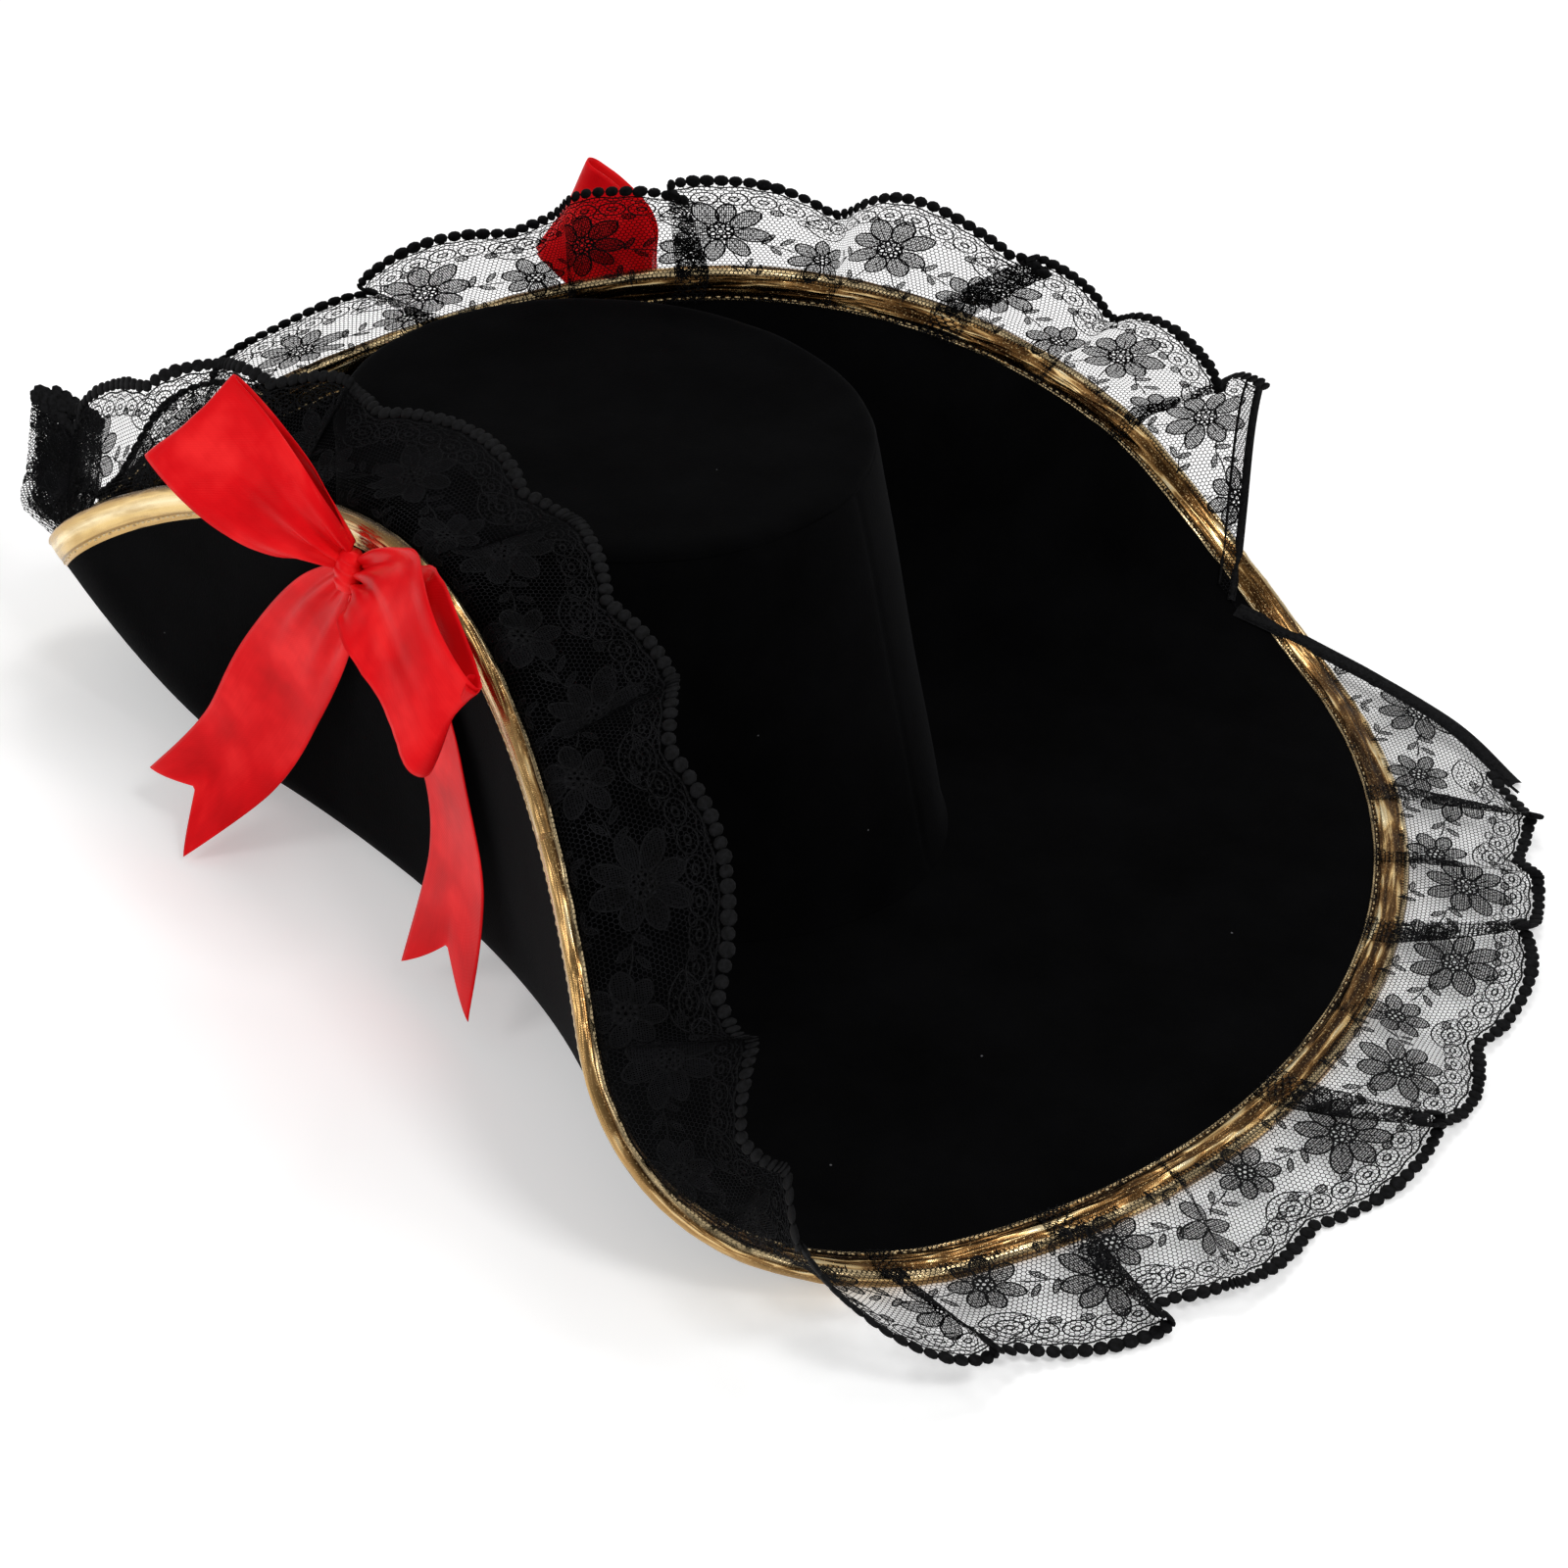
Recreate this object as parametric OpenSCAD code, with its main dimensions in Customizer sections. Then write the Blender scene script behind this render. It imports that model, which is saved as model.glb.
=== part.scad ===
// Pirate hat with two turned-up brim sides, taped edge, lace ruffle and two ribbon bows.
// Millimetres. Origin on the table under the centre of the head opening.
// The front point is towards -Y, the wearer's left side is +X, and +Z is up.

/* [Head opening] */
// Half of the crown's length at the brim
head_half_length = 104; // [100:1:108]
// Half of the crown's width at the brim
head_half_width = 81; // [78:1:83]

/* [Crown] */
// Height of the crown's top above the table
crown_height = 139; // [120:1:142]
// Half of the top panel's length
top_half_length = 85; // [78:1:88]
// Half of the top panel's width
top_half_width = 79; // [72:1:80]
// How far the top panel sits forward of the head opening's centre
crown_lean = 15; // [8:1:18]
// Height of the sweatband
sweatband_height = 30; // [20:1:38]

/* [Brim] */
// Half of the flat brim's width, side to side
brim_half_width = 239; // [232:1:244]
// Half of the flat brim's length, front to back
brim_half_length = 225; // [220:1:230]
// How far the brim's centre sits behind the head opening's centre
brim_shift = 25; // [20:1:30]
// Extra length of the brim at its front point
front_point = 22; // [14:1:24]
// Thickness of the stiffening board
board = 2.4; // [2:0.1:3]

/* [Turned-up sides] */
// Angle between each fold line and the front-to-back axis
fold_turn = 22.5; // [21:0.5:24]
// Distance from the head opening's centre to each fold line
fold_start = 80; // [79:1:83]
// Angle that each side is turned up
fold_angle = 86; // [82:1:88]
// Bend radius beside the crown
fold_radius = 13.5; // [13:0.5:17]
// How fast the bend opens out towards the front and the back
fold_opening = 18.5; // [17:0.5:21]
// Rise of the front point
tip_lift = 23; // [18:1:28]
// How far the two sides are drawn together at the front point
front_pinch = 0.42; // [0.36:0.02:0.44]

/* [Trim] */
// Width of the gold tape on each face
tape_width = 10; // [8:1:14]
// How far the lace stands beyond the brim's edge
lace_reach = 45; // [38:1:48]
// Height of the lace's waves
lace_wave = 5; // [2:0.5:6]

/* [Bows] */
// Width of the ribbon
ribbon_width = 38; // [30:1:40]
// Thickness of the ribbon
ribbon = 0.6; // [0.5:0.1:0.8]

/* [Hidden] */

cloth = 0.6;
gap = 0.05;
tape = 0.5;
lining = 1.2;
band = 0.8;
half_stack = board / 2 + gap + cloth;
lift = half_stack + gap + tape;
fold_middle = -24;
tip_from = 104;
around = 72;

// The folded brim: a flat point goes round a bend on each side, and the front is drawn in and raised.
function bend_radius(w) = min(fold_radius + fold_opening * pow((w - fold_middle) / 100, 2), 110);
function fold_normal(s) = [s * cos(fold_turn), -sin(fold_turn)];
function fold_line(s) = [s * sin(fold_turn), cos(fold_turn)];
function side_shift(p, s) =
  let (n = fold_normal(s), u = p * n - fold_start, r = bend_radius(p * fold_line(s)))
  let (arc = r * fold_angle * PI / 180, in_arc = min(max(u, 0), arc), past = max(u - arc, 0))
  let (turned = in_arc / r * 180 / PI)
  let (out = r * sin(turned) + past * cos(fold_angle) - max(u, 0))
  [n[0] * out, n[1] * out, r * (1 - cos(turned)) + past * sin(fold_angle)];
function front_share(p) = pow(max(-p[1] - tip_from, 0) / 100, 2);
function drawn_in(q, f) = [q[0] * (1 - front_pinch * f), q[1], q[2] + tip_lift * f];
function fold(p) = drawn_in([p[0], p[1], 0] + side_shift(p, 1) + side_shift(p, -1), front_share(p));
function unit(v) = v / norm(v);
function fold_up(p) =
  unit(cross(fold(p + [0.5, 0]) - fold(p - [0.5, 0]), fold(p + [0, 0.5]) - fold(p - [0, 0.5])));
function skin(p, h) = fold(p) + fold_up(p) * h + [0, 0, lift];

// The flat brim between the head opening and the edge.
function hole_point(a, out) = [(head_half_width + out) * cos(a), (head_half_length + out) * sin(a)];
function edge_point(a, out) =
  [
    (brim_half_width + out) * cos(a),
    brim_shift + (brim_half_length + out) * sin(a) - front_point * pow(max(-sin(a), 0), 8)
  ];
function tape_start(a) = 1 - tape_width / norm(edge_point(a, 0) - hole_point(a, 0));
// Share of the way out at which the fold begins, kept inside the brim.
function fold_share(a, extra) =
  let (s = cos(a) < 0 ? -1 : 1, n = fold_normal(s), h = hole_point(a, 0) * n, e = edge_point(a, 0) * n)
  (e - h) < 1 ? 1 : min(max((fold_start + extra - h) / (e - h), 0), 1);
function fold_arc(a) =
  let (s = cos(a) < 0 ? -1 : 1, k = fold_share(a, 0))
  let (p = hole_point(a, 0) * (1 - k) + edge_point(a, 0) * k)
  bend_radius(p * fold_line(s)) * fold_angle * PI / 180;
// Rows of the brim: bunched where the brim bends, with the last rows under the tape.
rows = 13;
function even_share(j) = min(j / (rows - 3), 1);
function bunched_share(a, j) =
  let (k0 = fold_share(a, 0), k1 = fold_share(a, fold_arc(a)), u = even_share(j))
  u < 0.2 ? k0 * u / 0.2 : u < 0.7 ? k0 + (k1 - k0) * (u - 0.2) / 0.5 : k1 + (1 - k1) * (u - 0.7) / 0.3;
function row_share(a, j) =
  j > rows - 3
    ? tape_start(a) + (1 - tape_start(a)) * (j - rows + 3) / 2
    : tape_start(a) * (0.4 * even_share(j) + 0.6 * bunched_share(a, j));
function brim_point(a, k) = hole_point(a, -2.2) * (1 - k) + edge_point(a, 0) * k;

// Closed solid between two grids. Rows run outwards (j), columns run round or along (i).
function quad(a, b, c, d) = [[a, b, c], [a, c, d]];
module grid_solid(top, low, ni, nj, ring) {
  n = ni * nj;
  m = ring ? ni : ni - 1;
  function at(i, j) = (i % ni) * nj + j;
  upper = [for (i = [0 : m - 1], j = [0 : nj - 2])
    each quad(at(i, j), at(i + 1, j), at(i + 1, j + 1), at(i, j + 1))];
  lower = [for (f = upper) [f[2] + n, f[1] + n, f[0] + n]];
  inner = [for (i = [0 : m - 1]) each quad(at(i, 0), at(i, 0) + n, at(i + 1, 0) + n, at(i + 1, 0))];
  outer = [for (i = [0 : m - 1])
    each quad(at(i, nj - 1), at(i + 1, nj - 1), at(i + 1, nj - 1) + n, at(i, nj - 1) + n)];
  first = [for (j = [0 : nj - 2]) each quad(at(0, j), at(0, j + 1), at(0, j + 1) + n, at(0, j) + n)];
  last = [for (j = [0 : nj - 2])
    each quad(at(ni - 1, j), at(ni - 1, j) + n, at(ni - 1, j + 1) + n, at(ni - 1, j + 1))];
  polyhedron(
    points = concat(top, low),
    faces = concat(upper, lower, inner, outer, ring ? [] : first, ring ? [] : last),
    convexity = 6
  );
}

// Closed ring swept round the brim's edge. Faces are split the same way as the brim's own.
module ring_solid(points, section, ni) {
  nj = len(section);
  function at(i, j) = (i % ni) * nj + (j % nj);
  function inwards(j) = section[(j + 1) % nj][0] < section[j][0];
  polyhedron(
    points = points,
    faces = [for (i = [0 : ni - 1], j = [0 : nj - 1])
      each inwards(j)
        ? quad(at(i + 1, j), at(i + 1, j + 1), at(i, j + 1), at(i, j))
        : quad(at(i, j), at(i + 1, j), at(i + 1, j + 1), at(i, j + 1))],
    convexity = 6
  );
}

module brim_layer(h0, h1) {
  grid_solid(
    [for (i = [0 : around - 1], j = [0 : rows - 1])
      let (a = i * 360 / around) skin(brim_point(a, row_share(a, j)), h1)],
    [for (i = [0 : around - 1], j = [0 : rows - 1])
      let (a = i * 360 / around) skin(brim_point(a, row_share(a, j)), h0)],
    around, rows, true
  );
}

module brim_top_cloth() {
  color([0.05, 0.05, 0.06]) brim_layer(board / 2 + gap, half_stack);
}

module brim_stiffener() {
  color([0.35, 0.35, 0.37]) brim_layer(-board / 2, board / 2);
}

module brim_under_cloth() {
  color([0.09, 0.09, 0.10]) brim_layer(-half_stack, -board / 2 - gap);
}

// Section points of the tape: [share from the tape's inner edge to the brim's edge, outward, height].
inside = half_stack + gap;
outside = half_stack + gap + tape;
tape_section = [
  [0, 0, outside], [0.5, 0, outside], [1, 0, outside], [1, 0.9, inside * 0.6], [1, 0.9, -inside * 0.6],
  [1, 0, -outside], [0.5, 0, -outside], [0, 0, -outside], [0, 0, -inside], [0.5, 0, -inside],
  [1, 0.35, -inside], [1, 0.35, inside], [0.5, 0, inside], [0, 0, inside]
];
function tape_point(a, q) =
  let (k = tape_start(a) + (1 - tape_start(a)) * q[0])
  let (p = brim_point(a, k), away = unit(fold(edge_point(a, 1)) - fold(edge_point(a, -1))))
  skin(p, q[2]) + away * q[1];

module edge_binding() {
  color([0.80, 0.62, 0.30])
  ring_solid(
    [for (i = [0 : around - 1], q = tape_section) tape_point(i * 360 / around, q)],
    tape_section, around
  );
}

// The thread lies along the tape's inner edge on the outer face.
module binding_stitches() {
  section = [
    [-0.12, 0, -inside - 0.1], [-0.04, 0, -inside - 0.1],
    [-0.04, 0, -outside + 0.05], [-0.12, 0, -outside + 0.05]
  ];
  color([0.93, 0.80, 0.52])
  ring_solid(
    [for (i = [0 : around - 1], q = section) tape_point(i * 360 / around, q)],
    section, around
  );
}

// The crown: straight tapering sides on the brim, under a top panel with a rounded edge.
function crown_point(a, z, out) =
  let (s = z / crown_height)
  [
    (head_half_width * (1 - s) + top_half_width * s + out) * cos(a),
    (head_half_length * (1 - s) + top_half_length * s + out) * sin(a) - crown_lean * s,
    z
  ];
function brim_top_z(a) = skin(hole_point(a, 0.5), half_stack)[2] + 0.45;
edge_round = 5;
// A wall between two offsets from the crown's outer surface. A base below zero follows the brim's top.
module crown_wall(inner, outer, base, z_high) {
  function z_low(a) = base < 0 ? brim_top_z(a) : base;
  function wall(offset) =
    [for (i = [0 : around - 1], j = [0 : 1])
      let (a = i * 360 / around) crown_point(a, j == 0 ? z_low(a) : z_high, offset)];
  grid_solid(wall(inner), wall(outer), around, 2, true);
}

module crown_side() {
  color([0.07, 0.07, 0.08]) crown_wall(-cloth, 0, -1, crown_height - edge_round);
}

module crown_side_lining() {
  color([0.25, 0.25, 0.28]) crown_wall(-cloth - gap - lining, -cloth - gap, -1, crown_height - edge_round);
}

module sweatband() {
  inset = cloth + 2 * gap + lining + 0.1;
  color([0.16, 0.15, 0.15]) crown_wall(-inset - 0.7 - band, -inset - 0.7, lift - half_stack, sweatband_height);
}

// Rounded lid over the crown: rings of [inwards, down], then a flat middle.
module crown_lid(drop, thick) {
  rings = [[0, edge_round - 0.1], [1.2, 2.2], [4.5, 0.5], [11, 0.05]];
  nr = len(rings);
  n = around;
  function ring(i, r, d, inset) =
    let (q = crown_point(i * 360 / n, crown_height - edge_round, -rings[r][0] - inset))
    [q[0], q[1], crown_height - rings[r][1] - d];
  function at(i, r) = 2 + (i % n) * nr + r;
  function under(i, r) = at(i, r) + n * nr;
  polyhedron(
    points = concat(
      [[0, centre_y(), crown_height - drop], [0, centre_y(), crown_height - drop - thick]],
      [for (i = [0 : n - 1], r = [0 : nr - 1]) ring(i, r, r == 0 ? 0 : drop, drop)],
      [for (i = [0 : n - 1], r = [0 : nr - 1]) ring(i, r, r == 0 ? 0 : drop + thick, drop + thick)]
    ),
    faces = concat(
      [for (i = [0 : n - 1]) [0, at(i + 1, nr - 1), at(i, nr - 1)]],
      [for (i = [0 : n - 1]) [1, under(i, nr - 1), under(i + 1, nr - 1)]],
      [for (i = [0 : n - 1], r = [0 : nr - 2])
        each quad(at(i, r), at(i, r + 1), at(i + 1, r + 1), at(i + 1, r))],
      [for (i = [0 : n - 1], r = [0 : nr - 2])
        each quad(under(i, r), under(i + 1, r), under(i + 1, r + 1), under(i, r + 1))],
      [for (i = [0 : n - 1]) each quad(at(i, 0), at(i + 1, 0), under(i + 1, 0), under(i, 0))]
    ),
    convexity = 4
  );
}
function centre_y() = -crown_lean * (crown_height - edge_round) / crown_height;

module crown_tip() {
  color([0.06, 0.06, 0.07]) crown_lid(0, cloth);
}

module crown_tip_lining() {
  color([0.22, 0.22, 0.25]) crown_lid(cloth + gap, lining);
}

// Lace: lies on the tape's inner face, then stands beyond the edge at a lean that changes round the hat.
// Lean is the angle from the brim's own surface towards its upper side, by the angle round the brim.
lace_lean = [
  [-92, 0], [-75, 8], [-60, 26], [-45, 54], [-38, 66], [-28, 74], [-10, 74], [10, 66], [24, 45], [36, 4],
  [50, -4], [110, -4], [130, 2], [150, 20], [172, 45], [195, 24], [215, 22], [235, 36], [255, 8], [272, 0]
];
lace_rows = [-1, -0.5, 0, 0.25, 0.6, 1];
lace_waves = 18;
function lace_rise(a, v) = lace_wave * v * (0.5 + 0.5 * sin(lace_waves * a));
function lace_point(a, v) =
  let (k = 1 + min(v, 0) * (1 - tape_start(a)), lean = lookup(a, lace_lean), reach = max(v, 0) * lace_reach)
  let (p = edge_point(a, 0), away = unit(fold(edge_point(a, 1)) - fold(edge_point(a, -1))), up = fold_up(p))
  skin(brim_point(a, k), outside + 0.4)
    + away * (reach * cos(lean) - lace_rise(a, max(v, 0)) * sin(lean))
    + up * (reach * sin(lean) + lace_rise(a, max(v, 0)) * cos(lean));
function lace_up(a, v) =
  unit(cross(lace_point(a, v + 0.1) - lace_point(a, v - 0.1), lace_point(a + 1, v) - lace_point(a - 1, v)));
module lace_strip(a0, a1, n) {
  nr = len(lace_rows);
  grid_solid(
    [for (i = [0 : n], j = [0 : nr - 1])
      let (a = a0 + (a1 - a0) * i / n) lace_point(a, lace_rows[j]) + lace_up(a, lace_rows[j]) * 0.25],
    [for (i = [0 : n], j = [0 : nr - 1])
      let (a = a0 + (a1 - a0) * i / n) lace_point(a, lace_rows[j]) - lace_up(a, lace_rows[j]) * 0.25],
    n + 1, nr, false
  );
}

module lace_left_strip() {
  color([0.14, 0.14, 0.16]) lace_strip(-80, 145, 45);
}

module lace_right_strip() {
  color([0.18, 0.18, 0.20]) lace_strip(150, 260, 22);
}

// Bow on the left side's outer face. Its own axes: a along the fold line, b up the face, c away from it.
knot_angle = -32;
knot_flat = edge_point(knot_angle, -18);
knot_along = knot_flat * fold_line(1);
bow_a = [sin(fold_turn), cos(fold_turn), 0];
bow_b = [cos(fold_turn) * cos(fold_angle), -sin(fold_turn) * cos(fold_angle), sin(fold_angle)];
bow_c = cross(bow_a, bow_b);
// The face bows outwards away from the middle of the fold, as the bend opens out.
function face_shift(a) = bend_radius(knot_along + a) - bend_radius(knot_along);
function on_bow(q) =
  skin(knot_flat, -half_stack) + bow_a * q[0] + bow_b * q[1] + bow_c * (q[2] + face_shift(q[0]));
// Smooth path through hand-placed points, for u from 0 to the number of spans.
function path_at(p, u) =
  let (i = min(max(floor(u), 0), len(p) - 2), t = u - i)
  let (q0 = p[max(i - 1, 0)], q1 = p[i], q2 = p[i + 1], q3 = p[min(i + 2, len(p) - 1)])
  0.5 * (2 * q1 + (q2 - q0) * t + (2 * q0 - 5 * q1 + 4 * q2 - q3) * t * t
    + (3 * q1 - q0 - 3 * q2 + q3) * t * t * t);
// Ribbon strip: path and across-direction points in bow axes, widths as shares of the ribbon's width.
module ribbon_strip(path, across, widths, n, nw, notch) {
  spans = len(path) - 1;
  function u_at(i, j) =
    let (u = spans * i / n, cut = max(u - spans + 1, 0))
    u - notch * cut * (1 - abs(2 * j / nw - 1));
  function spot(u, y) = path_at(path, u) + unit(path_at(across, u)) * y * ribbon_width * path_at(widths, u);
  function point(i, j, side) =
    let (u = u_at(i, j), y = j / nw - 0.5, e = 0.02)
    let (along = spot(min(u + e, spans), y) - spot(max(u - e, 0), y))
    let (over = spot(u, y + 0.05) - spot(u, y - 0.05))
    on_bow(spot(u, y) + unit(cross(over, along)) * side * ribbon / 2);
  grid_solid(
    [for (i = [0 : n], j = [0 : nw]) point(i, j, 1)],
    [for (i = [0 : n], j = [0 : nw]) point(i, j, -1)],
    n + 1, nw + 1, false
  );
}

module bow_knot() {
  color([0.75, 0.05, 0.05])
  translate(on_bow([0, 7, 5.6]))
  rotate([0, 0, -fold_turn])
  rotate([0, 90 - fold_angle, 0])
  rotate([-20, 0, 0])
  translate([0, 0, -6.5])
  rotate_extrude($fn = 48)
  polygon([[0, 0], [3, 0], [4.4, 2.5], [4.8, 6.5], [4.4, 10.5], [3, 13], [0, 13]]);
}

module left_front_loop() {
  color([0.84, 0.08, 0.08])
  ribbon_strip(
    [[-6.5, 10, 6.5], [-14, 19, 13], [-34, 29, 18], [-55, 39, 18], [-53, 30, 11], [-36, 19, 9], [-6.5, 8, 3.5]],
    [[0.4, 0.9, -0.1], [0.55, 0.75, -0.35], [0.55, 0.75, -0.35], [0.6, 0.75, -0.25], [0.6, 0.75, -0.3],
      [0.5, 0.8, -0.2], [0.4, 0.9, -0.1]],
    [0.3, 0.75, 0.95, 0.95, 0.95, 0.7, 0.3],
    20, 1, 0
  );
}

module left_rear_loop() {
  color([0.84, 0.08, 0.08])
  ribbon_strip(
    [[7, 6, 7], [35, 21, 13], [60, 18, 17], [76, 2, 14], [62, 6, 6], [36, 10, 6], [7, 3, 5.6]],
    [[0.3, 0.9, -0.2], [0.65, 0.5, -0.55], [0.6, 0.6, -0.5], [0.2, 0.9, -0.4], [0.5, 0.8, -0.2],
      [0.5, 0.8, -0.15], [0.3, 0.9, -0.2]],
    [0.3, 0.85, 0.95, 1, 0.95, 0.7, 0.3],
    20, 1, 0
  );
}

// The right bow's loops are tied a little differently: the front one is short and upright, the rear one hangs.
module right_front_loop() {
  color([0.84, 0.08, 0.08])
  ribbon_strip(
    [[-6.5, 10, 6.5], [-12, 20, 14], [-22, 29, 17], [-30, 34, 13], [-24, 29, 7], [-15, 18, 5], [-6.5, 8, 3.5]],
    [[0.4, 0.9, 0], [0.75, 0.65, 0], [0.6, 0.8, 0], [0.45, 0.9, 0], [0.5, 0.85, 0], [0.6, 0.8, 0],
      [0.4, 0.9, 0]],
    [0.3, 0.9, 1, 1, 1, 0.85, 0.3],
    20, 1, 0
  );
}

module right_rear_loop() {
  color([0.84, 0.08, 0.08])
  ribbon_strip(
    [[7, 4, 7], [27, 0, 18], [50, -7, 20], [66, -12, 12], [50, -11, 6], [27, -4, 6], [7, 2, 5.6]],
    [[0.2, 1, 0], [0.5, 0.9, -0.1], [0.6, 0.8, -0.2], [0.6, 0.8, -0.2], [0.6, 0.8, -0.2], [0.5, 0.9, -0.1],
      [0.2, 1, 0]],
    [0.3, 0.75, 0.95, 1, 0.95, 0.7, 0.3],
    20, 1, 0
  );
}

module bow_front_tail() {
  color([0.80, 0.07, 0.07])
  ribbon_strip(
    [[-6, -2, 4], [-21, -22, 4], [-39, -52, 8], [-53, -82, 17], [-72, -108, 33]],
    [[0.8, -0.5, 0], [1, -0.2, 0], [1, -0.05, 0], [1, -0.2, 0.05], [0.8, -0.35, 0.5]],
    [0.3, 0.75, 1, 1, 1],
    16, 2, 0.45
  );
}

module bow_rear_tail() {
  color([0.80, 0.07, 0.07])
  ribbon_strip(
    [[6, -2, 2.6], [25, -12, 2.6], [43, -40, 3], [53, -72, 6], [57, -108, 19]],
    [[0.8, 0.6, 0], [0.8, 0.6, 0], [0.85, 0.55, 0], [0.85, 0.5, -0.1], [0.95, 0.25, -0.25]],
    [0.3, 0.8, 1, 1, 1],
    16, 2, 0.45
  );
}

crown_tip();
crown_side();
crown_tip_lining();
crown_side_lining();
sweatband();
brim_top_cloth();
brim_stiffener();
brim_under_cloth();
edge_binding();
binding_stitches();
lace_left_strip();
lace_right_strip();
bow_knot();  // left_bow_knot
left_front_loop();  // left_bow_front_loop
left_rear_loop();  // left_bow_rear_loop
bow_front_tail();  // left_bow_front_tail
bow_rear_tail();  // left_bow_rear_tail
mirror([1, 0, 0]) bow_knot();  // right_bow_knot
mirror([1, 0, 0]) right_front_loop();  // right_bow_front_loop
mirror([1, 0, 0]) right_rear_loop();  // right_bow_rear_loop
mirror([1, 0, 0]) bow_front_tail();  // right_bow_front_tail
mirror([1, 0, 0]) bow_rear_tail();  // right_bow_rear_tail
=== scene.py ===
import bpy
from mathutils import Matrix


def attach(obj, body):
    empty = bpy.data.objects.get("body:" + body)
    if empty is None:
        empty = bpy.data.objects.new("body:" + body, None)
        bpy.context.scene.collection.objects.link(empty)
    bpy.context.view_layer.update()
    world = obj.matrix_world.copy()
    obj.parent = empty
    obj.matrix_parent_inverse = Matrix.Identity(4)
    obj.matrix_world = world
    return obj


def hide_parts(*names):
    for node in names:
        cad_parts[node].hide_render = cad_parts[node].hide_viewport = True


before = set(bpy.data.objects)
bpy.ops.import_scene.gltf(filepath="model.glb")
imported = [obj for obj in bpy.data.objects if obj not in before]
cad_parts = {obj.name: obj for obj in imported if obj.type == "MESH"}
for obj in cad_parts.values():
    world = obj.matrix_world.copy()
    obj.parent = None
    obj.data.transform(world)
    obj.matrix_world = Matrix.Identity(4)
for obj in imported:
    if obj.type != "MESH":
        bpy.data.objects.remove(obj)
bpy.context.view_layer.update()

import math

import bpy
import numpy as np
from mathutils import Matrix, Vector, noise

MM = 0.001


# -------------------- camera
CAMERA_AT = (0.89107, 0.44557, 0.70177)
CAMERA_TURNS = (113.88, 34.96, 2.55)  # azimuth, elevation and roll in degrees


def camera():
    azimuth, elevation, roll = (math.radians(v) for v in CAMERA_TURNS)
    back = Vector((math.sin(azimuth) * math.cos(elevation), -math.cos(azimuth) * math.cos(elevation),
                   math.sin(elevation)))
    right = Vector((math.cos(azimuth), math.sin(azimuth), 0))
    up = back.cross(right)
    across = right * math.cos(roll) + up * math.sin(roll)
    upright = up * math.cos(roll) - right * math.sin(roll)
    data = bpy.data.cameras.new("camera")
    data.lens, data.sensor_width, data.clip_start, data.clip_end = 84.6, 36.0, 0.05, 50.0
    cam = bpy.data.objects.new("camera", data)
    rows = [(across[k], upright[k], back[k], CAMERA_AT[k]) for k in range(3)]
    cam.matrix_world = Matrix(rows + [(0, 0, 0, 1)])
    bpy.context.scene.collection.objects.link(cam)
    bpy.context.scene.camera = cam


camera()


# -------------------- the brim's shape, as in the CAD source (mm)
HEAD_L, HEAD_W = 104.0, 81.0
CROWN_H, TOP_L, TOP_W, CROWN_LEAN = 139.0, 85.0, 79.0, 15.0
BRIM_W, BRIM_L, BRIM_SHIFT, POINT = 239.0, 225.0, 25.0, 22.0
BOARD, TURN, START, ANGLE = 2.4, 22.5, 80.0, math.radians(86)
RADIUS, OPENING, MIDDLE = 13.5, 18.5, -24.0
TIP_LIFT, TIP_FROM, PINCH = 23.0, 104.0, 0.42
HALF_STACK, LIFT = 1.85, 2.4
TAPE_W = 10.0
COS_T, SIN_T = math.cos(math.radians(TURN)), math.sin(math.radians(TURN))


def unit(v):
    return v / np.maximum(np.linalg.norm(v, axis=-1, keepdims=True), 1e-12)


def grid(rows, columns):
    return np.meshgrid(rows, columns, indexing="ij")


def bend_radius(w):
    return np.minimum(RADIUS + OPENING * ((w - MIDDLE) / 100) ** 2, 110)


def fold(p):
    """The flat brim point p, folded up at both sides and drawn in at the front."""
    p = np.asarray(p, float)
    q = np.concatenate([p, np.zeros(p.shape[:-1] + (1,))], -1)
    for side in (1, -1):
        n, along = np.array([side * COS_T, -SIN_T]), np.array([side * SIN_T, COS_T])
        u, r = p @ n - START, bend_radius(p @ along)
        arc = r * ANGLE
        turned, past = np.clip(u, 0, arc) / r, np.clip(u - arc, 0, None)
        out = r * np.sin(turned) + past * math.cos(ANGLE) - np.clip(u, 0, None)
        q[..., 0] += n[0] * out
        q[..., 1] += n[1] * out
        q[..., 2] += r * (1 - np.cos(turned)) + past * math.sin(ANGLE)
    f = (np.clip(-p[..., 1] - TIP_FROM, 0, None) / 100) ** 2
    q[..., 2] += TIP_LIFT * f
    q[..., 0] *= 1 - PINCH * f
    return q


def fold_up(p, e=0.5):
    p = np.asarray(p, float)
    return unit(np.cross(fold(p + [e, 0]) - fold(p - [e, 0]), fold(p + [0, e]) - fold(p - [0, e])))


def skin(p, h=0.0):
    return fold(p) + fold_up(p) * np.asarray(h, float)[..., None] + [0, 0, LIFT]


def hole_point(a, out=0.0):
    return np.stack([(HEAD_W + out) * np.cos(a), (HEAD_L + out) * np.sin(a)], -1)


def edge_point(a, out=0.0):
    return np.stack([
        (BRIM_W + out) * np.cos(a),
        BRIM_SHIFT + (BRIM_L + out) * np.sin(a) - POINT * np.maximum(-np.sin(a), 0) ** 8], -1)


def tape_start(a):
    return 1 - TAPE_W / np.linalg.norm(edge_point(a) - hole_point(a), axis=-1)


def brim_point(a, k):
    k = np.asarray(k, float)[..., None]
    return hole_point(a, -2.2) * (1 - k) + edge_point(a) * k


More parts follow.
